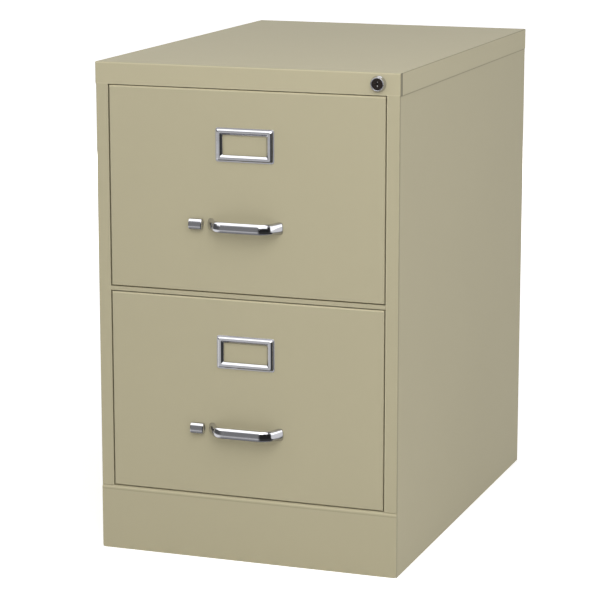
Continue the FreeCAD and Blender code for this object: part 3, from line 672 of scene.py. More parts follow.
@dataclass(frozen=True)
class SheetBends:
    """Rounds the outer bends of folded sheet steel, which catch the light."""

    radius: float = 0.9 * MM
    segments: int = 3
    least_length: float = 12.0 * MM
    least_width: float = 4.0 * MM
    least_angle: float = 1.0
    joint: float = 0.002 * MM
    flat: float = 0.01
    limit: float = 0.72

    def is_bend(self, edge: bmesh.types.BMEdge) -> bool:
        """Whether an edge is a long outer one between two broad faces.

        Args:
            edge: an edge of the merged sheet.

        Returns:
            True for a bend.
        """
        if not edge.is_manifold or not edge.is_convex or edge.calc_length() < self.least_length:
            return False
        widths = [2 * face.calc_area() / face.calc_perimeter() for face in edge.link_faces]
        return min(widths) > self.least_width and edge.calc_face_angle() > self.least_angle

    def soften(self, node: str, body: str, finish: Finish) -> None:
        """Makes a piece with rounded bends that stands for a painted node.

        Args:
            node: the frame's node.
            body: the body that both ride on.
            finish: what the piece is dressed with.
        """
        shape = bmesh.new()
        shape.from_mesh(frame["nodes"][node].data)
        bmesh.ops.remove_doubles(shape, verts=shape.verts, dist=self.joint)
        bmesh.ops.dissolve_limit(shape, angle_limit=self.flat, verts=shape.verts, edges=shape.edges)
        bends = [edge for edge in shape.edges if self.is_bend(edge)]
        bmesh.ops.bevel(
            shape, geom=bends, offset=self.radius, segments=self.segments, profile=0.5,
            affect="EDGES", clamp_overlap=False,
        )
        piece = piece_from(f"{node}_sheet", shape, limit=self.limit)
        stand_for(piece, finish, body, "putty_paint", node)
        log.info("%s: %d bends rounded", node, len(bends))


class PieceTree:
    """A Geometry Nodes tree with named sizes, ending in Realize Instances and Set Material."""

    def __init__(self, name: str) -> None:
        """Makes the empty tree with its geometry sockets and its finish input.

        Args:
            name: the tree's name.
        """
        self.tree = bpy.data.node_groups.new(name, "GeometryNodeTree")
        self.chart = Chart(self.tree)
        self.ids: dict[str, str] = {}
        for way in ("INPUT", "OUTPUT"):
            self.tree.interface.new_socket("Geometry", in_out=way, socket_type="NodeSocketGeometry")
        finish = self.tree.interface.new_socket("Finish", in_out="INPUT", socket_type="NodeSocketMaterial")
        self.ids["Finish"] = finish.identifier

    def sizes(self, **amounts: object) -> Sockets:
        """Args:
            amounts: a default for each name: an int, a float or a vector of three.

        Returns:
            All the tree's inputs, by name, with the geometry that it starts from.
        """
        kinds = {int: "NodeSocketInt", float: "NodeSocketFloat", tuple: "NodeSocketVector"}
        for name, amount in amounts.items():
            socket = self.tree.interface.new_socket(name, in_out="INPUT", socket_type=kinds[type(amount)])
            socket.default_value = amount
            self.ids[name] = socket.identifier
        self.given = self.chart.add("NodeGroupInput").outputs
        return self.given

    def repeat(self, points: Socket, part: Socket) -> Socket:
        """A part repeated on points."""
        return self.chart.first("GeometryNodeInstanceOnPoints", {"Points": points, "Instance": part})

    def moved(self, part: Socket, **change: object) -> Socket:
        """A part with another Translation, Rotation or Scale."""
        return self.chart.first("GeometryNodeTransform", {"Geometry": part, **change})

    def close(self, geometry: Socket) -> None:
        """Ends the tree.

        Args:
            geometry: what the tree has made.
        """
        real = self.chart.first("GeometryNodeRealizeInstances", {"Geometry": geometry})
        flat = self.chart.first("GeometryNodeSetShadeSmooth", {"Geometry": real, "Shade Smooth": False})
        coat = {"Geometry": flat, "Material": self.given["Finish"]}
        self.chart.add("NodeGroupOutput", {"Geometry": self.chart.first("GeometryNodeSetMaterial", coat)})

    def make(self, name: str, seeds: list[Vector], finish: Finish, **amounts: object) -> bpy.types.Object:
        """Runs the tree once and keeps the result as a plain mesh.

        Args:
            name: the new piece's name.
            seeds: points of the mesh that the tree starts from, joined in a line.
            finish: the material that the tree sets.
            amounts: values for the named inputs.

        Returns:
            The new object, without a modifier.
        """
        start = bpy.data.meshes.new(f"{name}_start")
        start.from_pydata(seeds, [(number, number + 1) for number in range(len(seeds) - 1)], [])
        maker = placed(f"{name}_maker", start)
        modifier = maker.modifiers.new("make", "NODES")
        modifier.node_group = self.tree
        modifier[self.ids["Finish"]] = finish.material()
        for key, amount in amounts.items():
            modifier[self.ids[key]] = amount
        graph = bpy.context.evaluated_depsgraph_get()
        mesh = bpy.data.meshes.new_from_object(maker.evaluated_get(graph), depsgraph=graph)
        maker.modifiers.remove(modifier)
        bpy.data.objects.remove(maker)
        mesh.name = name
        return placed(name, mesh)


class DomeRows(PieceTree):
    """Rows of low round heads that stand on a surface, such as rivets and spot welds."""

    underside: float = -0.01

    def __init__(self) -> None:
        """Flattens half a sphere, turns it to the surface and repeats it on every seed point."""
        super().__init__("dome_rows")
        size = self.sizes(Radius=2.5 * MM, Rise=0.5 * MM, Turn=(0.0, 0.0, 0.0))
        add, chart = self.chart.add, self.chart
        ball = add("GeometryNodeMeshUVSphere", {"Segments": 16, "Rings": 8, "Radius": 1.0}).outputs["Mesh"]
        height = chart.parts(chart.first("GeometryNodeInputPosition"))["Z"]
        low = chart.first("FunctionNodeCompare", {0: height, 1: self.underside}, operation="LESS_THAN")
        dome = chart.first("GeometryNodeDeleteGeometry", {"Geometry": ball, "Selection": low})
        flat = self.moved(dome, Scale=chart.vector(X=size["Radius"], Y=size["Radius"], Z=size["Rise"]))
        self.close(self.repeat(size["Geometry"], self.moved(flat, Rotation=size["Turn"])))


class RollerStrips(PieceTree):
    """Cage strips with their rollers, one strip on each seed point."""

    def __init__(self) -> None:
        """Builds one link of a cage with its roller and repeats it along each strip."""
        super().__init__("roller_strips")
        size = self.sizes(
            Count=12, Pitch=25.0 * MM, RollerRadius=1.6 * MM, RollerLength=2.4 * MM,
            Width=5.0 * MM, Sheet=0.8 * MM, Window=3.5 * MM,
        )
        chart = self.chart
        barrel = {"Vertices": 20, "Radius": size["RollerRadius"], "Depth": size["RollerLength"]}
        roller = chart.add("GeometryNodeMeshCylinder", barrel).outputs["Mesh"]
        rail_width = self.half(chart.math("SUBTRACT", size["Width"], size["RollerLength"]))
        rail_middle = self.half(chart.math("SUBTRACT", size["Width"], rail_width))
        parts = [self.moved(roller, Rotation=(0.0, math.pi / 2, 0.0))]
        for sign in (-1.0, 1.0):
            rail = self.bar(rail_width, size["Pitch"], size["Sheet"])
            across = chart.math("MULTIPLY", rail_middle, sign)
            parts.append(self.moved(rail, Translation=chart.vector(X=across)))
        web_length = chart.math("SUBTRACT", size["Pitch"], size["Window"])
        web = self.bar(size["RollerLength"], web_length, size["Sheet"])
        parts.append(self.moved(web, Translation=chart.vector(Y=self.half(size["Pitch"]))))
        link = chart.add("GeometryNodeJoinGeometry")
        for part in parts:
            self.tree.links.new(part, link.inputs[0])
        line = {"Count": size["Count"], "Offset": chart.vector(Y=size["Pitch"])}
        strip = self.repeat(chart.first("GeometryNodeMeshLine", line, mode="OFFSET"), link.outputs[0])
        self.close(self.repeat(size["Geometry"], strip))

    def half(self, amount: Socket) -> Socket:
        """Half of an amount."""
        return self.chart.math("MULTIPLY", amount, 0.5)

    def bar(self, width: Socket, length: Socket, height: Socket) -> Socket:
        """A centred box of the cage."""
        sides = self.chart.vector(X=width, Y=length, Z=height)
        return self.chart.add("GeometryNodeMeshCube", {"Size": sides}).outputs["Mesh"]

@dataclass
class PaintedCase:
    """The sheet-steel case with its rails, uprights and spot welds."""

    weld_radius: float = 3.4 * MM
    weld_rise: float = 0.8 * MM
    weld_inset: float = 8.0 * MM
    back_lap: float = 16.0 * MM
    welds_in_row: int = 9
    # sizes of the painted shade and highlight lines on the case's enamel
    corner_return: float = 9.0 * MM
    corner_edge: float = 3.0 * MM
    line: float = 1.1 * MM
    light_line: float = 1.9 * MM
    gap: float = 1.5 * MM
    blur: float = 1.0 * MM
    front_bend: float = 4.0 * MM
    # base_lines: painted highlight on the base's top bend and painted shade under it, as (far, near, tone)
    # in mm below the top
    base_lines: tuple[tuple[float, float, float], ...] = ((3.8, 1.8, 0.20), (6.8, 5.6, -0.17))
    cover_tone: float = 1.05
    painted: tuple[str, ...] = ("front_top_rail", "divider_rail", "rear_foot_rail", "upright")

    def cover_finish(self) -> EnamelFinish:
        """The cover's enamel.

        Returns:
            The finish, with painted shade and painted highlight lines at its bends and at the header's
            returns.
        """
        low, high = extent("top_cover")
        fold, edge = low.y + self.corner_return, self.corner_edge
        colour = tuple(part * self.cover_tone for part in ENAMEL.colour)
        return EnamelFinish("cover_enamel", colour, (
            # painted shade along the top edge of the side flanges
            PaintedShadingLine("Z", high.z - self.line, high.z, "X", -0.40),
            # painted shade on the header's side returns, then a painted highlight just behind them
            PaintedShadingLine("Y", low.y, fold, "X", -0.52, edge / 3),
            PaintedShadingLine("Y", fold + edge / 2, fold + edge, "X", 0.08, edge / 3),
            # painted shadow along the side flanges' lower edge
            PaintedShadingLine("Z", low.z, low.z + self.line / 2, "X", -0.12),
            # painted highlights along the header's top and lower edges
            PaintedShadingLine("Z", high.z - self.light_line, high.z, "Y", 0.15),
            PaintedShadingLine("Z", low.z, low.z + self.line, "Y", 0.08),
        ))

    def side_finish(self) -> EnamelFinish:
        """The sides' enamel.

        Returns:
            The finish, with painted shadow under the cover's flange, painted shade along the front bend
            and a painted highlight beside the drawer opening.
        """
        under = extent("top_cover")[0]
        opening = extent("upper_drawer_front")[1].x + self.gap
        return EnamelFinish("side_enamel", painted_lines=(
            # painted shadow under the cover's side flange
            PaintedShadingLine("Z", under.z - 1.2 * self.line, under.z + self.blur, "X", -0.34),
            # painted shade along the side's front bend
            PaintedShadingLine("Y", under.y - self.blur, under.y + self.front_bend, "X", -0.26, self.blur),
            # painted highlight on the front beside the drawer opening
            PaintedShadingLine("X", opening - self.blur, opening + self.light_line, "Y", 0.12),
        ))

    def base_finish(self) -> EnamelFinish:
        """The base's enamel.

        Returns:
            The finish, with a painted highlight on its top bend and a painted shade line under it.
        """
        top = extent("base_panel")[1].z
        # painted highlight on the top bend and painted shade under it
        painted_lines = tuple(
            PaintedShadingLine("Z", top - far * MM, top - near * MM, "Y", tone) for far, near, tone in self.base_lines
        )
        return EnamelFinish("base_enamel", painted_lines=painted_lines)

    def back_finish(self) -> EnamelFinish:
        """The back's enamel.

        Returns:
            The finish, with painted shade lines where it laps the sides and painted shadow under the
            cover.
        """
        low, high = extent("back_panel")
        lap, line = self.back_lap, self.line
        under = extent("top_cover")[0].z
        return EnamelFinish("back_enamel", painted_lines=(
            # painted shade at the folds where the back laps the sides and at its lower lap
            PaintedShadingLine("X", low.x + lap, low.x + lap + line, "Y", -0.35),
            PaintedShadingLine("X", high.x - lap - line, high.x - lap, "Y", -0.35),
            PaintedShadingLine("Z", low.z + lap, low.z + lap + line, "Y", -0.30),
            # painted shadow under the cover
            PaintedShadingLine("Z", under - 2 * line, under + line, "Y", -0.34),
        ))

    def build(self, bends: SheetBends, domes: DomeRows) -> None:
        """Dresses the case, rounds its bends and adds the rows of spot welds down the back.

        Args:
            bends: rounds the sheets' bends.
            domes: makes the welds.
        """
        for word in self.painted:
            ENAMEL.dress(*nodes_named(word))
        self.back_finish().dress(frame["nodes"]["back_panel"])
        cabinet = Carrier.CABINET.body()
        bends.soften("top_cover", cabinet, self.cover_finish())
        for side in Side:
            bends.soften(f"{side.name.lower()}_side_panel", cabinet, self.side_finish())
        bends.soften("base_panel", cabinet, self.base_finish())
        low, high = extent("back_panel")
        step = (high.z - low.z) / self.welds_in_row
        seeds = [
            Vector((across, high.y, low.z + step * (number + 0.5)))
            for across in (low.x + self.weld_inset, high.x - self.weld_inset)
            for number in range(self.welds_in_row)
        ]
        size = {"Radius": self.weld_radius, "Rise": self.weld_rise, "Turn": (-math.pi / 2, 0.0, 0.0)}
        stand_for(domes.make("back_spot_welds", seeds, ENAMEL, **size), ENAMEL, cabinet, "putty_paint")
        log.info("case dressed, %d spot welds", len(seeds))


@dataclass
class DrawerShell:
    """One drawer's front, liner and tray, all in the case's enamel."""

    level: Level
    # tones of the painted highlights on the bends and of the painted light on the top face in the gap
    top_light: float
    gap_light: float
    bottom_light: float = 0.08
    rounder: SheetBends = SheetBends(radius=1.4 * MM, segments=4)
    light_line: float = 2.2 * MM
    gap_depth: float = 9.0 * MM

    def build(self) -> None:
        """Rounds the front, paints highlights on its bends and light on its top face seen in the gap, and
        dresses the rest.
        """
        for word in ("front_liner", "tray"):
            ENAMEL.dress(*nodes_named(self.level.value, word))
        node = f"{self.level.value}_drawer_front"
        low, high = extent(node)
        # painted highlights along the front's top and bottom bends, and painted light on its top face seen
        # through the gap under the header
        finish = EnamelFinish(f"{self.level.value}_front_enamel", painted_lines=(
            PaintedShadingLine("Z", high.z - self.light_line, high.z, "Y", self.top_light),
            PaintedShadingLine("Z", low.z, low.z + self.light_line / 2, "Y", self.bottom_light),
            PaintedShadingLine("Y", low.y, low.y + self.gap_depth, "Z", self.gap_light),
        ))
        self.rounder.soften(node, Carrier.DRAWER.body(self.level), finish)
        log.info("%s drawer dressed", self.level.value)


@dataclass(frozen=True)
class LeaningFace:
    """The upright section of the cast trim: a face that leans back a little and rounds over at its edges.

    Each span starts at a tilt in degrees, 90 for straight up, and keeps one radius until the next.
    """

    spans: tuple[tuple[float, float], ...] = (
        (90.0, 2.5), (51.0, 5.4), (15.0, 32.0), (4.0, 7.3), (-20.0, 3.0), (-90.0, 0.0),
    )
    steps: int = 6

    def points(self, height: float) -> Outline:
        """The face from its top edge to its bottom edge.

        Args:
            height: the distance between the two edges.

        Returns:
            Pairs of the distance behind the foremost point and the height over the middle.
        """
        found = [(0.0, 0.0)]
        for (start, radius), (end, _) in zip(self.spans, self.spans[1:]):
            step = math.radians(end - start) / self.steps
            for number in range(self.steps):
                tilt = math.radians(start) + step * number
                back, up = found[-1]
                back -= radius * (math.cos(tilt + step) - math.cos(tilt))
                found.append((back, up - radius * (math.sin(tilt) - math.sin(tilt + step))))
        front = min(back for back, _ in found)
        share = -height / found[-1][1]
        return [((back - front) * share, up * share + height / 2) for back, up in found]


@dataclass
class BowHandle:
    """The cast and chromed bow pull of one drawer."""

    level: Level
    grip_height: float = 15.8 * MM
    grip_depth: float = 8.6 * MM
    splay: float = 13.8 * MM
    bend_radius: float = 22.0 * MM
    foot_flare: float = 0.7 * MM
    flare_power: float = 1.2
    foot_squareness: float = 2.8
    least_slant: float = 0.2
    face: LeaningFace = LeaningFace()
    back_steps: int = 16
    foot_steps: int = 14
    bend_steps: int = 24
    grip_steps: int = 6

    def half_path(self, foot: Vector, corner: Vector) -> list[tuple[Vector, Vector, float]]:
        """Stations from the right foot to the middle of the grip.

        Args:
            foot: middle of the leg where it meets the drawer front.
            corner: where the leg's line and the grip's line would meet.

        Returns:
            Each station's point, its direction, and its share of the foot: 1 at the foot, 0 on the grip.
        """
        inward = Vector((-1.0, 0.0, 0.0))
        down = (corner - foot).normalized()
        turn = down.angle(inward)
        trim = self.bend_radius * math.tan(turn / 2)
        start, end = corner - down * trim, corner + inward * trim
        side = (inward - down * inward.dot(down)).normalized()
        stations = []
        for share in (number / self.foot_steps for number in range(self.foot_steps)):
            stations.append((foot.lerp(start, share), down, 1 - share))
        for angle in (turn * number / self.bend_steps for number in range(self.bend_steps)):
            arm = down * math.sin(angle) - side * math.cos(angle)
            along = down * math.cos(angle) + side * math.sin(angle)
            stations.append((start + (side + arm) * self.bend_radius, along, 0.0))
        middle = Vector((0.0, corner.y, corner.z))
        for number in range(self.grip_steps + 1):
            stations.append((end.lerp(middle, number / self.grip_steps), inward, 0.0))
        return stations

    def grip_outline(self) -> Outline:
        """The grip's closed section.

        Returns:
            Pairs of distance outwards and height.
        """
        half = self.grip_depth / 2
        points = [(half - back, up) for back, up in self.face.points(self.grip_height)]
        edges = (points[-1][0], points[0][0])
        for number in range(1, self.back_steps):
            angle = math.pi * number / self.back_steps
            edge = edges[number * 2 >= self.back_steps]
            out = edge - (half + edge) * math.sin(angle)
            points.append((out, -self.grip_height / 2 * math.cos(angle)))
        return points

    def section(
        self, point: Vector, along: Vector, share: float, low: Vector, high: Vector
    ) -> list[Vector]:
        """One section, square to the path on the grip and level with the drawer front at the foot.

        Args:
            point: its middle.
            along: the path's direction there.
            share: 1 at the foot and 0 on the grip.
            low: the handle's lowest corner.
            high: its highest corner, whose Y is the drawer front's face.

        Returns:
            The section's points in order, none behind the drawer front's face.
        """
        square = along.cross(Vector((0.0, 0.0, 1.0))).normalized()
        if square.y > 0.0:
            square = -square
        across = square.lerp(Vector((1.0 / max(square.x, self.least_slant), 0.0, 0.0)), share)
        flare = share**self.flare_power
        extra = self.foot_flare * flare / 2
        corners = []
        for out, up in self.grip_outline():
            angle = math.atan2(up / self.grip_height, out / self.grip_depth)
            wide, tall = (
                math.copysign(abs(part) ** (2 / self.foot_squareness), part) / 2
                for part in (math.cos(angle), math.sin(angle))
            )
            out += (wide * self.grip_depth - out) * flare
            up += (tall * (high.z - low.z) - up) * flare
            spread = out * (1 + 2 * extra / self.grip_depth) + extra
            corner = point + across * spread + Vector((0.0, 0.0, up))
            corner.y = min(corner.y, high.y)
            corners.append(corner)
        return corners

    def build(self) -> None:
        """Lofts the sections from foot to foot and closes both feet."""
        node = f"{self.level.value}_handle"
        low, high = extent(node)
        half = self.grip_depth / 2
        lean = math.atan2(self.splay, high.y - low.y - half)
        foot = Vector((high.x - (half + self.foot_flare) / math.cos(lean), high.y, (low.z + high.z) / 2))
        corner = Vector((foot.x - self.splay, low.y + half, foot.z))
        right = [self.section(*station, low, high) for station in self.half_path(foot, corner)]
        left = [[point * Vector((-1.0, 1.0, 1.0)) for point in ring] for ring in right[-2::-1]]
        shape = bmesh.new()
        loft(shape, right + left)
        piece = piece_from(f"{self.level.value}_bow_handle", shape)
        stand_for(piece, CHROME, Carrier.DRAWER.body(self.level), "chrome_trim", node)
        log.info("%s handle built with %d sections", self.level.value, len(right + left))


@dataclass
class CardHolder:
    """The chromed frame around a drawer's card window, a hollow section that the card slides behind."""

    level: Level
    window_width: float = 66.0 * MM
    window_height: float = 28.6 * MM
    sheet: float = 0.7 * MM
    flange: float = 1.5 * MM
    wall: float = 2.9 * MM
    outer_bevel: float = 2.0 * MM
    inner_bevel: float = 2.95 * MM
    inner_drop: float = 2.6 * MM
    edge_height: float = 0.525 * MM
    edge_width: float = 0.14 * MM
    soft: float = 0.5 * MM
    soft_steps: int = 3
    card_gap: float = 1.2 * MM
    corner: float = 3.4 * MM
    inner_corner: float = 1.2 * MM
    arc_steps: int = 6

    def ring(self, inset: float, out: float, low: Vector, high: Vector) -> list[Point]:
        """A rounded rectangle around the window.

        Args:
            inset: distance inside the frame's outer edge.
            out: distance in front of the drawer.
            low: the frame's lowest corner.
            high: the frame's highest corner.

        Returns:
            Its points.
        """
        bars = high - low - Vector((self.window_width, 0.0, self.window_height))
        corner = self.corner + (self.inner_corner - self.corner) * inset / (bars.z / 2)
        points = []
        for quarter, (right, top) in enumerate(((1, 1), (-1, 1), (-1, -1), (1, -1))):
            x = (high if right > 0 else low).x - right * (inset * bars.x / bars.z + corner)
            z = (high if top > 0 else low).z - top * (inset + corner)
            for angle in quarter_turn(self.arc_steps, quarter):
                points.append((x + corner * math.cos(angle), high.y - out, z + corner * math.sin(angle)))
        return points

    def section(self, bar: float, rise: float) -> Outline:
        """The frame's closed section.

        Args:
            bar: the section's whole width, from outer edge to window.
            rise: how far it stands out from the drawer front.

        Returns:
            Pairs of distance inside the outer edge and distance in front of the drawer.
        """
        foot = self.flange + self.soft / 2
        shoulder, brow = foot + self.outer_bevel, bar - self.inner_bevel
        ledge = rise - self.inner_drop
        outline = [
            (self.flange, self.sheet), (foot, self.wall), (shoulder, rise), (brow, rise),
            (bar, ledge), (bar, self.card_gap),
        ]
        points = [(0.0, 0.0), (0.0, self.edge_height), (self.edge_width, self.sheet), outline[0]]
        for corner in zip(outline, outline[1:], outline[2:]):
            before, here, after = (Vector(pair) for pair in corner)
            start = here + (before - here).normalized() * self.soft
            end = here + (after - here).normalized() * self.soft
            for share in (number / self.soft_steps for number in range(self.soft_steps + 1)):
                points.append(tuple(start.lerp(here, share).lerp(here.lerp(end, share), share)))
        return points + [
            (bar, self.card_gap), (bar - self.sheet, self.card_gap),
            (bar - self.sheet, ledge - self.sheet / 2), (brow, rise - self.sheet),
            (shoulder, rise - self.sheet), (foot + self.sheet, self.wall - self.sheet / 2),
            (self.flange + self.sheet, 0.0),
        ]

    def build(self) -> None:
        """Lofts rounded rectangles along the section and joins the last to the first."""
        node = f"{self.level.value}_label_holder"
        low, high = extent(node)
        section = self.section((high.z - low.z - self.window_height) / 2, high.y - low.y)
        shape = bmesh.new()
        loft(shape, [self.ring(inset, out, low, high) for inset, out in section], joined=True)
        piece = piece_from(f"{self.level.value}_card_frame", shape, limit=0.9)
        stand_for(piece, CHROME, Carrier.DRAWER.body(self.level), "chrome_trim", node)
        log.info("%s card frame built", self.level.value)


@dataclass
class ThumbLatch:
    """The chromed thumb piece of one drawer, with the latch's works behind the front."""

    level: Level
    collar_rise: float = 1.6 * MM
    collar_inset: float = 0.9 * MM
    proud: float = 0.8 * MM
    stem_reach: float = 7.0 * MM
    stem_width: float = 8.0 * MM
    stem_height: float = 6.0 * MM
    slit: float = 0.3 * MM
    end_power: float = 0.12
    face: LeaningFace = LeaningFace()
    rows: int = 32

    def crown(self, low: Vector, high: Vector) -> list[list[Point]]:
        """The rings of a block with the leaning face and rounded ends.

        Args:
            low: its lowest corner.
            high: its highest corner, whose Y is the plane that it stands on.

        Returns:
            The rings from end to end.
        """
        middle, half = (low + high) / 2, (high - low) / 2
        front = [(max(high.y - low.y - back, 0.0), up) for back, up in self.face.points(high.z - low.z)]
        front = [(0.0, front[0][1]), *front, (0.0, front[-1][1])]
        rings = []
        for row in range(1, self.rows):
            lift = math.pi * row / self.rows
            x = middle.x + half.x * math.copysign(abs(math.cos(lift)) ** self.end_power, math.cos(lift))
            size = math.sin(lift) ** self.end_power
            rings.append([(x, high.y - out * size, middle.z + up * size) for out, up in front])
        return rings

    def build(self) -> None:
        """Builds collar, crown and stem of the thumb piece and dresses the latch's works."""
        node = f"{self.level.value}_latch_button"
        low, high = extent(node)
        low.z -= self.proud
        high.z += self.proud
        face = high.y - self.stem_reach - self.slit
        brim = face - self.collar_rise
        shape = bmesh.new()
        loft(shape, self.crown(low, Vector((high.x, brim, high.z))))
        middle, sides = (low + high) / 2, high - low
        for width, height, start, end in (
            (sides.x - 2 * self.collar_inset, sides.z - 2 * self.collar_inset, brim, face),
            (self.stem_width, self.stem_height, face, high.y),
        ):
            add_box(shape, (middle.x, (start + end) / 2, middle.z), (width, end - start, height))
        piece = piece_from(f"{self.level.value}_thumb_piece", shape, limit=0.6)
        stand_for(piece, CHROME, Carrier.LATCH.body(self.level), "chrome_trim", node)
        for word in ("latch_bar", "latch_guide"):
            ZINC.dress(*nodes_named(self.level.value, word))
        log.info("%s thumb piece built", self.level.value)


@dataclass
class FoldedSpring:
    """The folded strip between a latch's bolt and its bracket, which closes up as the latch slides."""

    level: Level
    sheet: float = 0.5 * MM
    turns: int = 8
    steps: int = 12

    def build(self) -> None:
        """Builds the strip in waves."""
        node = f"{self.level.value}_latch_spring"
        low, high = extent(node)
        length = high.x - low.x
        swing = (high.y - low.y - self.sheet) / 2
        count = self.turns * self.steps
        rings = []
        for step in range(count + 1):
            phase = math.pi * step / self.steps
            slope = -swing * math.sin(phase) * math.pi * self.turns / length
            across = Vector((-slope, 1.0)).normalized() * self.sheet / 2
            spot = Vector((low.x + length * step / count, (low.y + high.y) / 2 + swing * math.cos(phase)))
            corners = ((-1, low.z), (1, low.z), (1, high.z), (-1, high.z))
            rings.append([(*(spot + way * across), height) for way, height in corners])
        shape = bmesh.new()
        loft(shape, rings)
        piece = piece_from(f"{self.level.value}_folded_spring", shape, smooth=False)
        SPRING_STEEL.dress(piece)
        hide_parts(node)
        latch, drawer = Carrier.LATCH.body(self.level), Carrier.DRAWER.body(self.level)
        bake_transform(piece)
        log.info("%s latch spring built", self.level.value)


@dataclass
class SlidePair:
    """The telescoping slides of one drawer, with rivets and roller cages."""

    level: Level
    rivet_radius: float = 3.0 * MM
    rivet_rise: float = 0.6 * MM
    sheet: float = 1.2 * MM
    rivets: int = 4
    rivet_inset: float = 42.0 * MM
    roller_count: int = 16
    roller_radius: float = 1.6 * MM
    roller_length: float = 2.4 * MM
    roller_play: float = 0.2 * MM
    cage_width: float = 5.0 * MM
    cage_sheet: float = 0.8 * MM

    def rivet_seeds(self, node: str, web_is_low: bool) -> list[Vector]:
        """Points for rivet heads along the inside of a member's web.

        Args:
            node: the member.
            web_is_low: whether its web is on the side of lower X.

        Returns:
            The points, on the web's inner face.
        """
        low, high = extent(node)
        across = low.x + self.sheet if web_is_low else high.x - self.sheet
        step = (high.y - low.y - 2 * self.rivet_inset) / (self.rivets - 1)
        first = Vector((across, low.y + self.rivet_inset, (low.z + high.z) / 2))
        return [first + Vector((0.0, step * number, 0.0)) for number in range(self.rivets)]

    def build(self, domes: DomeRows, strips: RollerStrips) -> None:
        """Dresses the members, rivets them and fills the cages with rollers.

        Args:
            domes: makes the rivet heads.
            strips: makes the cages.
        """
        level = self.level.value
        ZINC.dress(*nodes_named(level, "slide_"))
        kinds = (("case", -1, Carrier.CABINET.body()), ("drawer", 1, Carrier.DRAWER.body(self.level)))
        for side in Side:
            for kind, outward, body in kinds:
                name = f"{level}_{side.name.lower()}"
                toward = side.value * outward
                seeds = self.rivet_seeds(f"{name}_slide_{kind}_member", toward > 0)
                rivets = domes.make(
                    f"{name}_{kind}_slide_rivets", seeds, ZINC,
                    Radius=self.rivet_radius, Rise=self.rivet_rise, Turn=(0.0, toward * math.pi / 2, 0.0),
                )
                stand_for(rivets, ZINC, body, "zinc_steel")
        for carrier in (Carrier.OUTER_CAGES, Carrier.INNER_CAGES):
            self.cage(carrier, strips)
        log.info("%s slides dressed and riveted", level)

    def cage(self, carrier: Carrier, strips: RollerStrips) -> None:
        """Builds the four strips of one pair of cages.

        Args:
            carrier: the body that they ride on.
            strips: makes the strips.
        """
        name = carrier.body(self.level).removesuffix("_cages")
        low, high = extent(f"{name}_roller_cages")
        pitch = (high.y - low.y) / self.roller_count
        across = high.x - self.cage_width / 2
        corners = [
            Vector((across * side.value, low.y + pitch / 2, z))
            for side in Side
            for z in (low.z + self.roller_radius, high.z - self.roller_radius)
        ]
        piece = strips.make(
            f"{name}_rollers", corners, ROLLER_STEEL,
            Count=self.roller_count, Pitch=pitch, RollerRadius=self.roller_radius,
            RollerLength=self.roller_length, Width=self.cage_width, Sheet=self.cage_sheet,
            Window=2 * self.roller_radius + self.roller_play,
        )
        stand_for(piece, ROLLER_STEEL, carrier.body(self.level), "bearing_steel", f"{name}_roller_cages")


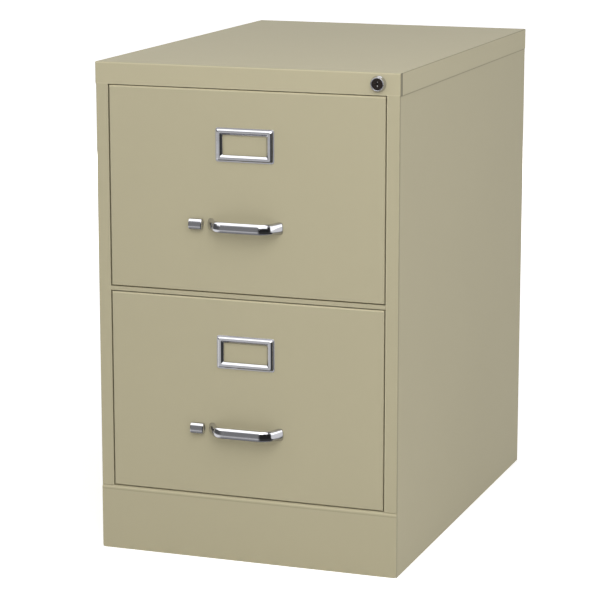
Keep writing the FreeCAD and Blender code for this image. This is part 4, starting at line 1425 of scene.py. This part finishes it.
@dataclass
class HeaderLock:
    """The cylinder lock in the header, with the bar that it lifts."""

    flange_radius: float = 11.6 * MM
    face_radius: float = 9.6 * MM
    bore_radius: float = 8.25 * MM
    barrel_radius: float = 9.5 * MM
    bore_steps: int = 4
    face_steps: int = 6
    rim: float = 1.2 * MM
    rim_inset: float = 0.25 * MM
    rim_ahead: float = 0.15 * MM
    rim_behind: float = 0.2 * MM
    lip: float = 0.3 * MM
    thread_pitch: float = 1.0 * MM
    thread_depth: float = 0.35 * MM
    segments: int = 96
    wafers: int = 5
    wafer_width: float = 1.5 * MM
    wafer_sheet: float = 0.5 * MM
    wafer_step: float = 0.9 * MM
    wafer_start: float = 1.2 * MM
    wafer_rises: tuple[float, float] = (2.4 * MM, 1.6 * MM)
    key_height: float = 3.6 * MM

    def profile(self, front: float, reach: float, end: float) -> Outline:
        """The barrel's closed outline.

        Args:
            front: Y of the header's face.
            reach: how far the bezel stands out.
            end: Y of the barrel's rear end.

        Returns:
            Pairs of radius and Y.
        """
        face, bore, lip, barrel = front - reach, self.bore_radius, self.lip, self.barrel_radius
        points = []
        for angle in quarter_turn(self.bore_steps):
            points.append((bore + lip * (1 - math.cos(angle)), face + lip * (1 - math.sin(angle))))
        for angle in quarter_turn(self.face_steps):
            radius = self.face_radius - lip * (1 - math.sin(angle))
            points.append((radius, face + lip * (1 - math.cos(angle))))
        points += [
            (self.flange_radius - self.rim_inset, front - self.rim - self.rim_ahead),
            (self.flange_radius, front - self.rim + self.rim_behind), (self.flange_radius, front),
            (barrel, front),
        ]
        for number in range(int((end - front) / self.thread_pitch) - 1):
            start = front + self.thread_pitch * (number + 0.5)
            points += [(barrel, start), (barrel - self.thread_depth, start + self.thread_pitch / 2)]
        return points + [(barrel, end - lip), (barrel - lip, end), (bore, end)]

    def build(self) -> None:
        """Turns the barrel, adds the wafers in the keyway and dresses the rest."""
        low, high = extent("lock_barrel")
        front = extent("top_cover")[0].y
        middle = (low + high) / 2
        outline = self.profile(front, front - low.y, high.y)
        rings = []
        for number in range(self.segments):
            angle = math.tau * number / self.segments
            rings.append([
                (middle.x + radius * math.cos(angle), y, middle.z + radius * math.sin(angle))
                for radius, y in outline
            ])
        shape = bmesh.new()
        loft(shape, rings, joined=True)
        barrel = piece_from("lock_bezel_barrel", shape)
        stand_for(barrel, CHROME, Carrier.CABINET.body(), "chrome_trim", "lock_barrel")
        self.fill_keyway(middle)
        DARK_PLATE.dress(frame["nodes"]["lock_core"])
        for word in ("lock_bar", "lock_cam", "lock_nut", "lock_lug"):
            ZINC.dress(*nodes_named(word))
        log.info("lock built with %d points in its outline", len(outline))

    def fill_keyway(self, middle: Vector) -> None:
        """Adds the ends of the wafers that show inside the keyway.

        Args:
            middle: the lock's middle.
        """
        shape = bmesh.new()
        for number in range(self.wafers):
            depth = extent("lock_core")[0].y + self.wafer_start + self.wafer_step * number
            rise = self.wafer_rises[number % 2]
            side = 1 if number % 2 else -1
            spot = (middle.x, depth, middle.z + side * (self.key_height - rise / 2))
            add_box(shape, spot, (self.wafer_width, self.wafer_sheet, rise))
        piece = piece_from("lock_wafers", shape, smooth=False)
        stand_for(piece, WAFER_NICKEL, Carrier.LOCK_PLUG.body(), "lock_core_dark")


@dataclass(frozen=True)
class SoftBox:
    """One rectangular studio lamp."""

    name: str
    place: Point
    target: Point
    width: float
    height: float
    watts: float

    def build(self) -> None:
        """Hangs the lamp and aims it."""
        lamp = bpy.data.lights.new(self.name, "AREA")
        lamp.shape = "RECTANGLE"
        lamp.size, lamp.size_y, lamp.energy = self.width, self.height, self.watts
        holder = placed(self.name, lamp)
        holder.location = self.place
        aim = Vector(self.target) - Vector(self.place)
        holder.rotation_euler = aim.to_track_quat("-Z", "Y").to_euler()


@dataclass(frozen=True)
class Room:
    """What the polished metal mirrors, as brightness by direction.

    Each band is where one brightness gives way to the next, on a direction of length one: X to the right,
    Y away from the camera and Z up.
    """

    backdrop: float = 1.0
    front_left: float = 0.75
    behind_camera: float = 0.06
    low_dim: float = 0.55
    far_left_low: float = 1.1
    far_left_high: float = 0.12
    above_dim: float = 0.38
    right_screen: float = 1.0
    ceiling: float = 2.2
    under: float = 0.25
    camera_x: Band = (-0.25, 0.05)
    far_left_x: Band = (-0.5, -0.8)
    low_z: Band = (-0.45, -0.3)
    above_z: Band = (-0.15, -0.09)
    raised_screen_x: Band = (0.70, 0.80)
    raised_screen_z: Band = (0.3, 0.5)
    screen_x: Band = (0.945, 0.972)
    backdrop_y: Band = (-0.1, 0.4)
    ceiling_y: Band = (0.5, 0.2)
    ceiling_x: Band = (0.42, 0.22)
    ceiling_z: Band = (0.25, 0.5)
    under_z: Band = (-0.55, -0.85)

    def mirrored(self, chart: Chart, direction: Socket) -> Socket:
        """Adds the room's brightness by direction.

        Args:
            chart: the world's chart.
            direction: the direction that is looked in.

        Returns:
            The brightness.
        """
        x, y, z = chart.parts(direction)
        ahead = chart.ramp(x, *self.camera_x, self.front_left, self.behind_camera)
        left = chart.ramp(x, *self.far_left_x)
        dimmed = chart.math("MULTIPLY", ahead, chart.ramp(z, *self.low_z, self.low_dim, 1.0))
        low = chart.blend(left, dimmed, self.far_left_low)
        high = chart.blend(left, chart.math("MULTIPLY", ahead, self.above_dim), self.far_left_high)
        toward_camera = chart.blend(chart.ramp(z, *self.above_z), low, high)
        raised_x = chart.ramp(x, *self.raised_screen_x)
        raised_right = chart.math("MULTIPLY", raised_x, chart.ramp(z, *self.raised_screen_z))
        right = chart.math("MAXIMUM", chart.ramp(x, *self.screen_x), raised_right)
        front = chart.blend(right, toward_camera, self.right_screen)
        level = chart.blend(chart.ramp(y, *self.backdrop_y), front, self.backdrop)
        width = chart.math("MULTIPLY", chart.ramp(y, *self.ceiling_y), chart.ramp(x, *self.ceiling_x))
        overhead = chart.math("MULTIPLY", chart.ramp(z, *self.ceiling_z), width)
        raised = chart.blend(overhead, level, self.ceiling)
        return chart.blend(chart.ramp(z, *self.under_z), raised, self.under)


@dataclass
class Studio:
    """Floor, lamps, surroundings and the photograph's camera."""

    floor_half: float = 30.0
    focal_pixels: float = 2466.8
    camera_place: Point = (1.2316, -3.5299, 1.1043)
    yaw: float = 19.721
    pitch: float = 11.767
    view_reach: float = 200.0
    ambient: float = 0.45
    room: Room = Room()
    boxes: tuple[SoftBox, ...] = (
        SoftBox("key_box", (0.7, -1.9, 1.9), (0.0, -0.35, 0.6), 2.4, 2.0, 32.2),
        SoftBox("left_box", (-2.2, -2.2, 1.6), (0.0, -0.2, 0.45), 1.4, 1.1, 5.8),
        SoftBox("rear_box", (-1.9, 3.4, 0.36), (0.0, 0.35, 0.36), 2.6, 0.6, 34.0),
        SoftBox("right_box", (3.0, -0.4, 1.3), (0.2, 0.05, 0.36), 1.6, 1.4, 11.8),
    )

    def build(self) -> None:
        """Sets up everything around the cabinet."""
        self.floor()
        self.surroundings()
        for box in self.boxes:
            box.build()
        self.camera()
        bpy.context.scene.view_settings.view_transform = "Standard"
        log.info("studio ready")

    def floor(self) -> None:
        """A large pale floor under the cabinet."""
        half = self.floor_half
        shape = bmesh.new()
        corners = ((-half, -half), (half, -half), (half, half), (-half, half))
        shape.faces.new([shape.verts.new((x, y, 0.0)) for x, y in corners])
        floor = piece_from("studio_floor", shape, smooth=False)
        floor.visible_glossy = False
        FloorFinish("studio_floor_white").dress(floor)

    def surroundings(self) -> None:
        """White for the camera, even grey light, and the room for reflections."""
        world = bpy.data.worlds.new("studio_room")
        bpy.context.scene.world = world
        world.use_nodes = True
        world.node_tree.nodes.clear()
        chart = Chart(world.node_tree)
        path = chart.add("ShaderNodeLightPath").outputs
        direction = chart.add("ShaderNodeTexCoord").outputs["Generated"]
        mirrors = chart.math("MAXIMUM", path["Is Glossy Ray"], path["Is Transmission Ray"])
        unseen = chart.blend(mirrors, self.ambient, self.room.mirrored(chart, direction))
        strength = chart.blend(path["Is Camera Ray"], unseen, 1.0)
        back = chart.first("ShaderNodeBackground", {"Strength": strength, "Color": WHITE})
        chart.add("ShaderNodeOutputWorld", {"Surface": back})

    def camera(self) -> None:
        """The camera that was fitted to the photograph."""
        lens = bpy.data.cameras.new("photo_camera")
        lens.sensor_width = SENSOR_MM
        lens.lens = self.focal_pixels / IMAGE_PIXELS * SENSOR_MM
        lens.clip_end = self.view_reach
        holder = placed("photo_camera", lens)
        holder.location = self.camera_place
        holder.rotation_euler = (math.radians(90.0 - self.pitch), 0.0, math.radians(self.yaw))
        bpy.context.scene.camera = holder


def main() -> None:
    """Builds every sub-assembly in order."""
    logging.basicConfig(level=logging.INFO, format="%(name)s: %(message)s")
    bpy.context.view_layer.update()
    domes = DomeRows()
    strips = RollerStrips()
    PaintedCase().build(SheetBends(), domes)
    shells = (
        DrawerShell(Level.UPPER, top_light=0.19, gap_light=0.4),
        DrawerShell(Level.LOWER, top_light=0.29, gap_light=0.0),
    )
    for shell in shells:
        shell.build()
        for kind in (BowHandle, CardHolder, ThumbLatch, FoldedSpring):
            kind(shell.level).build()
        SlidePair(shell.level).build(domes, strips)
    HeaderLock().build()
    Studio().build()


if __name__ == "__main__":
    main()
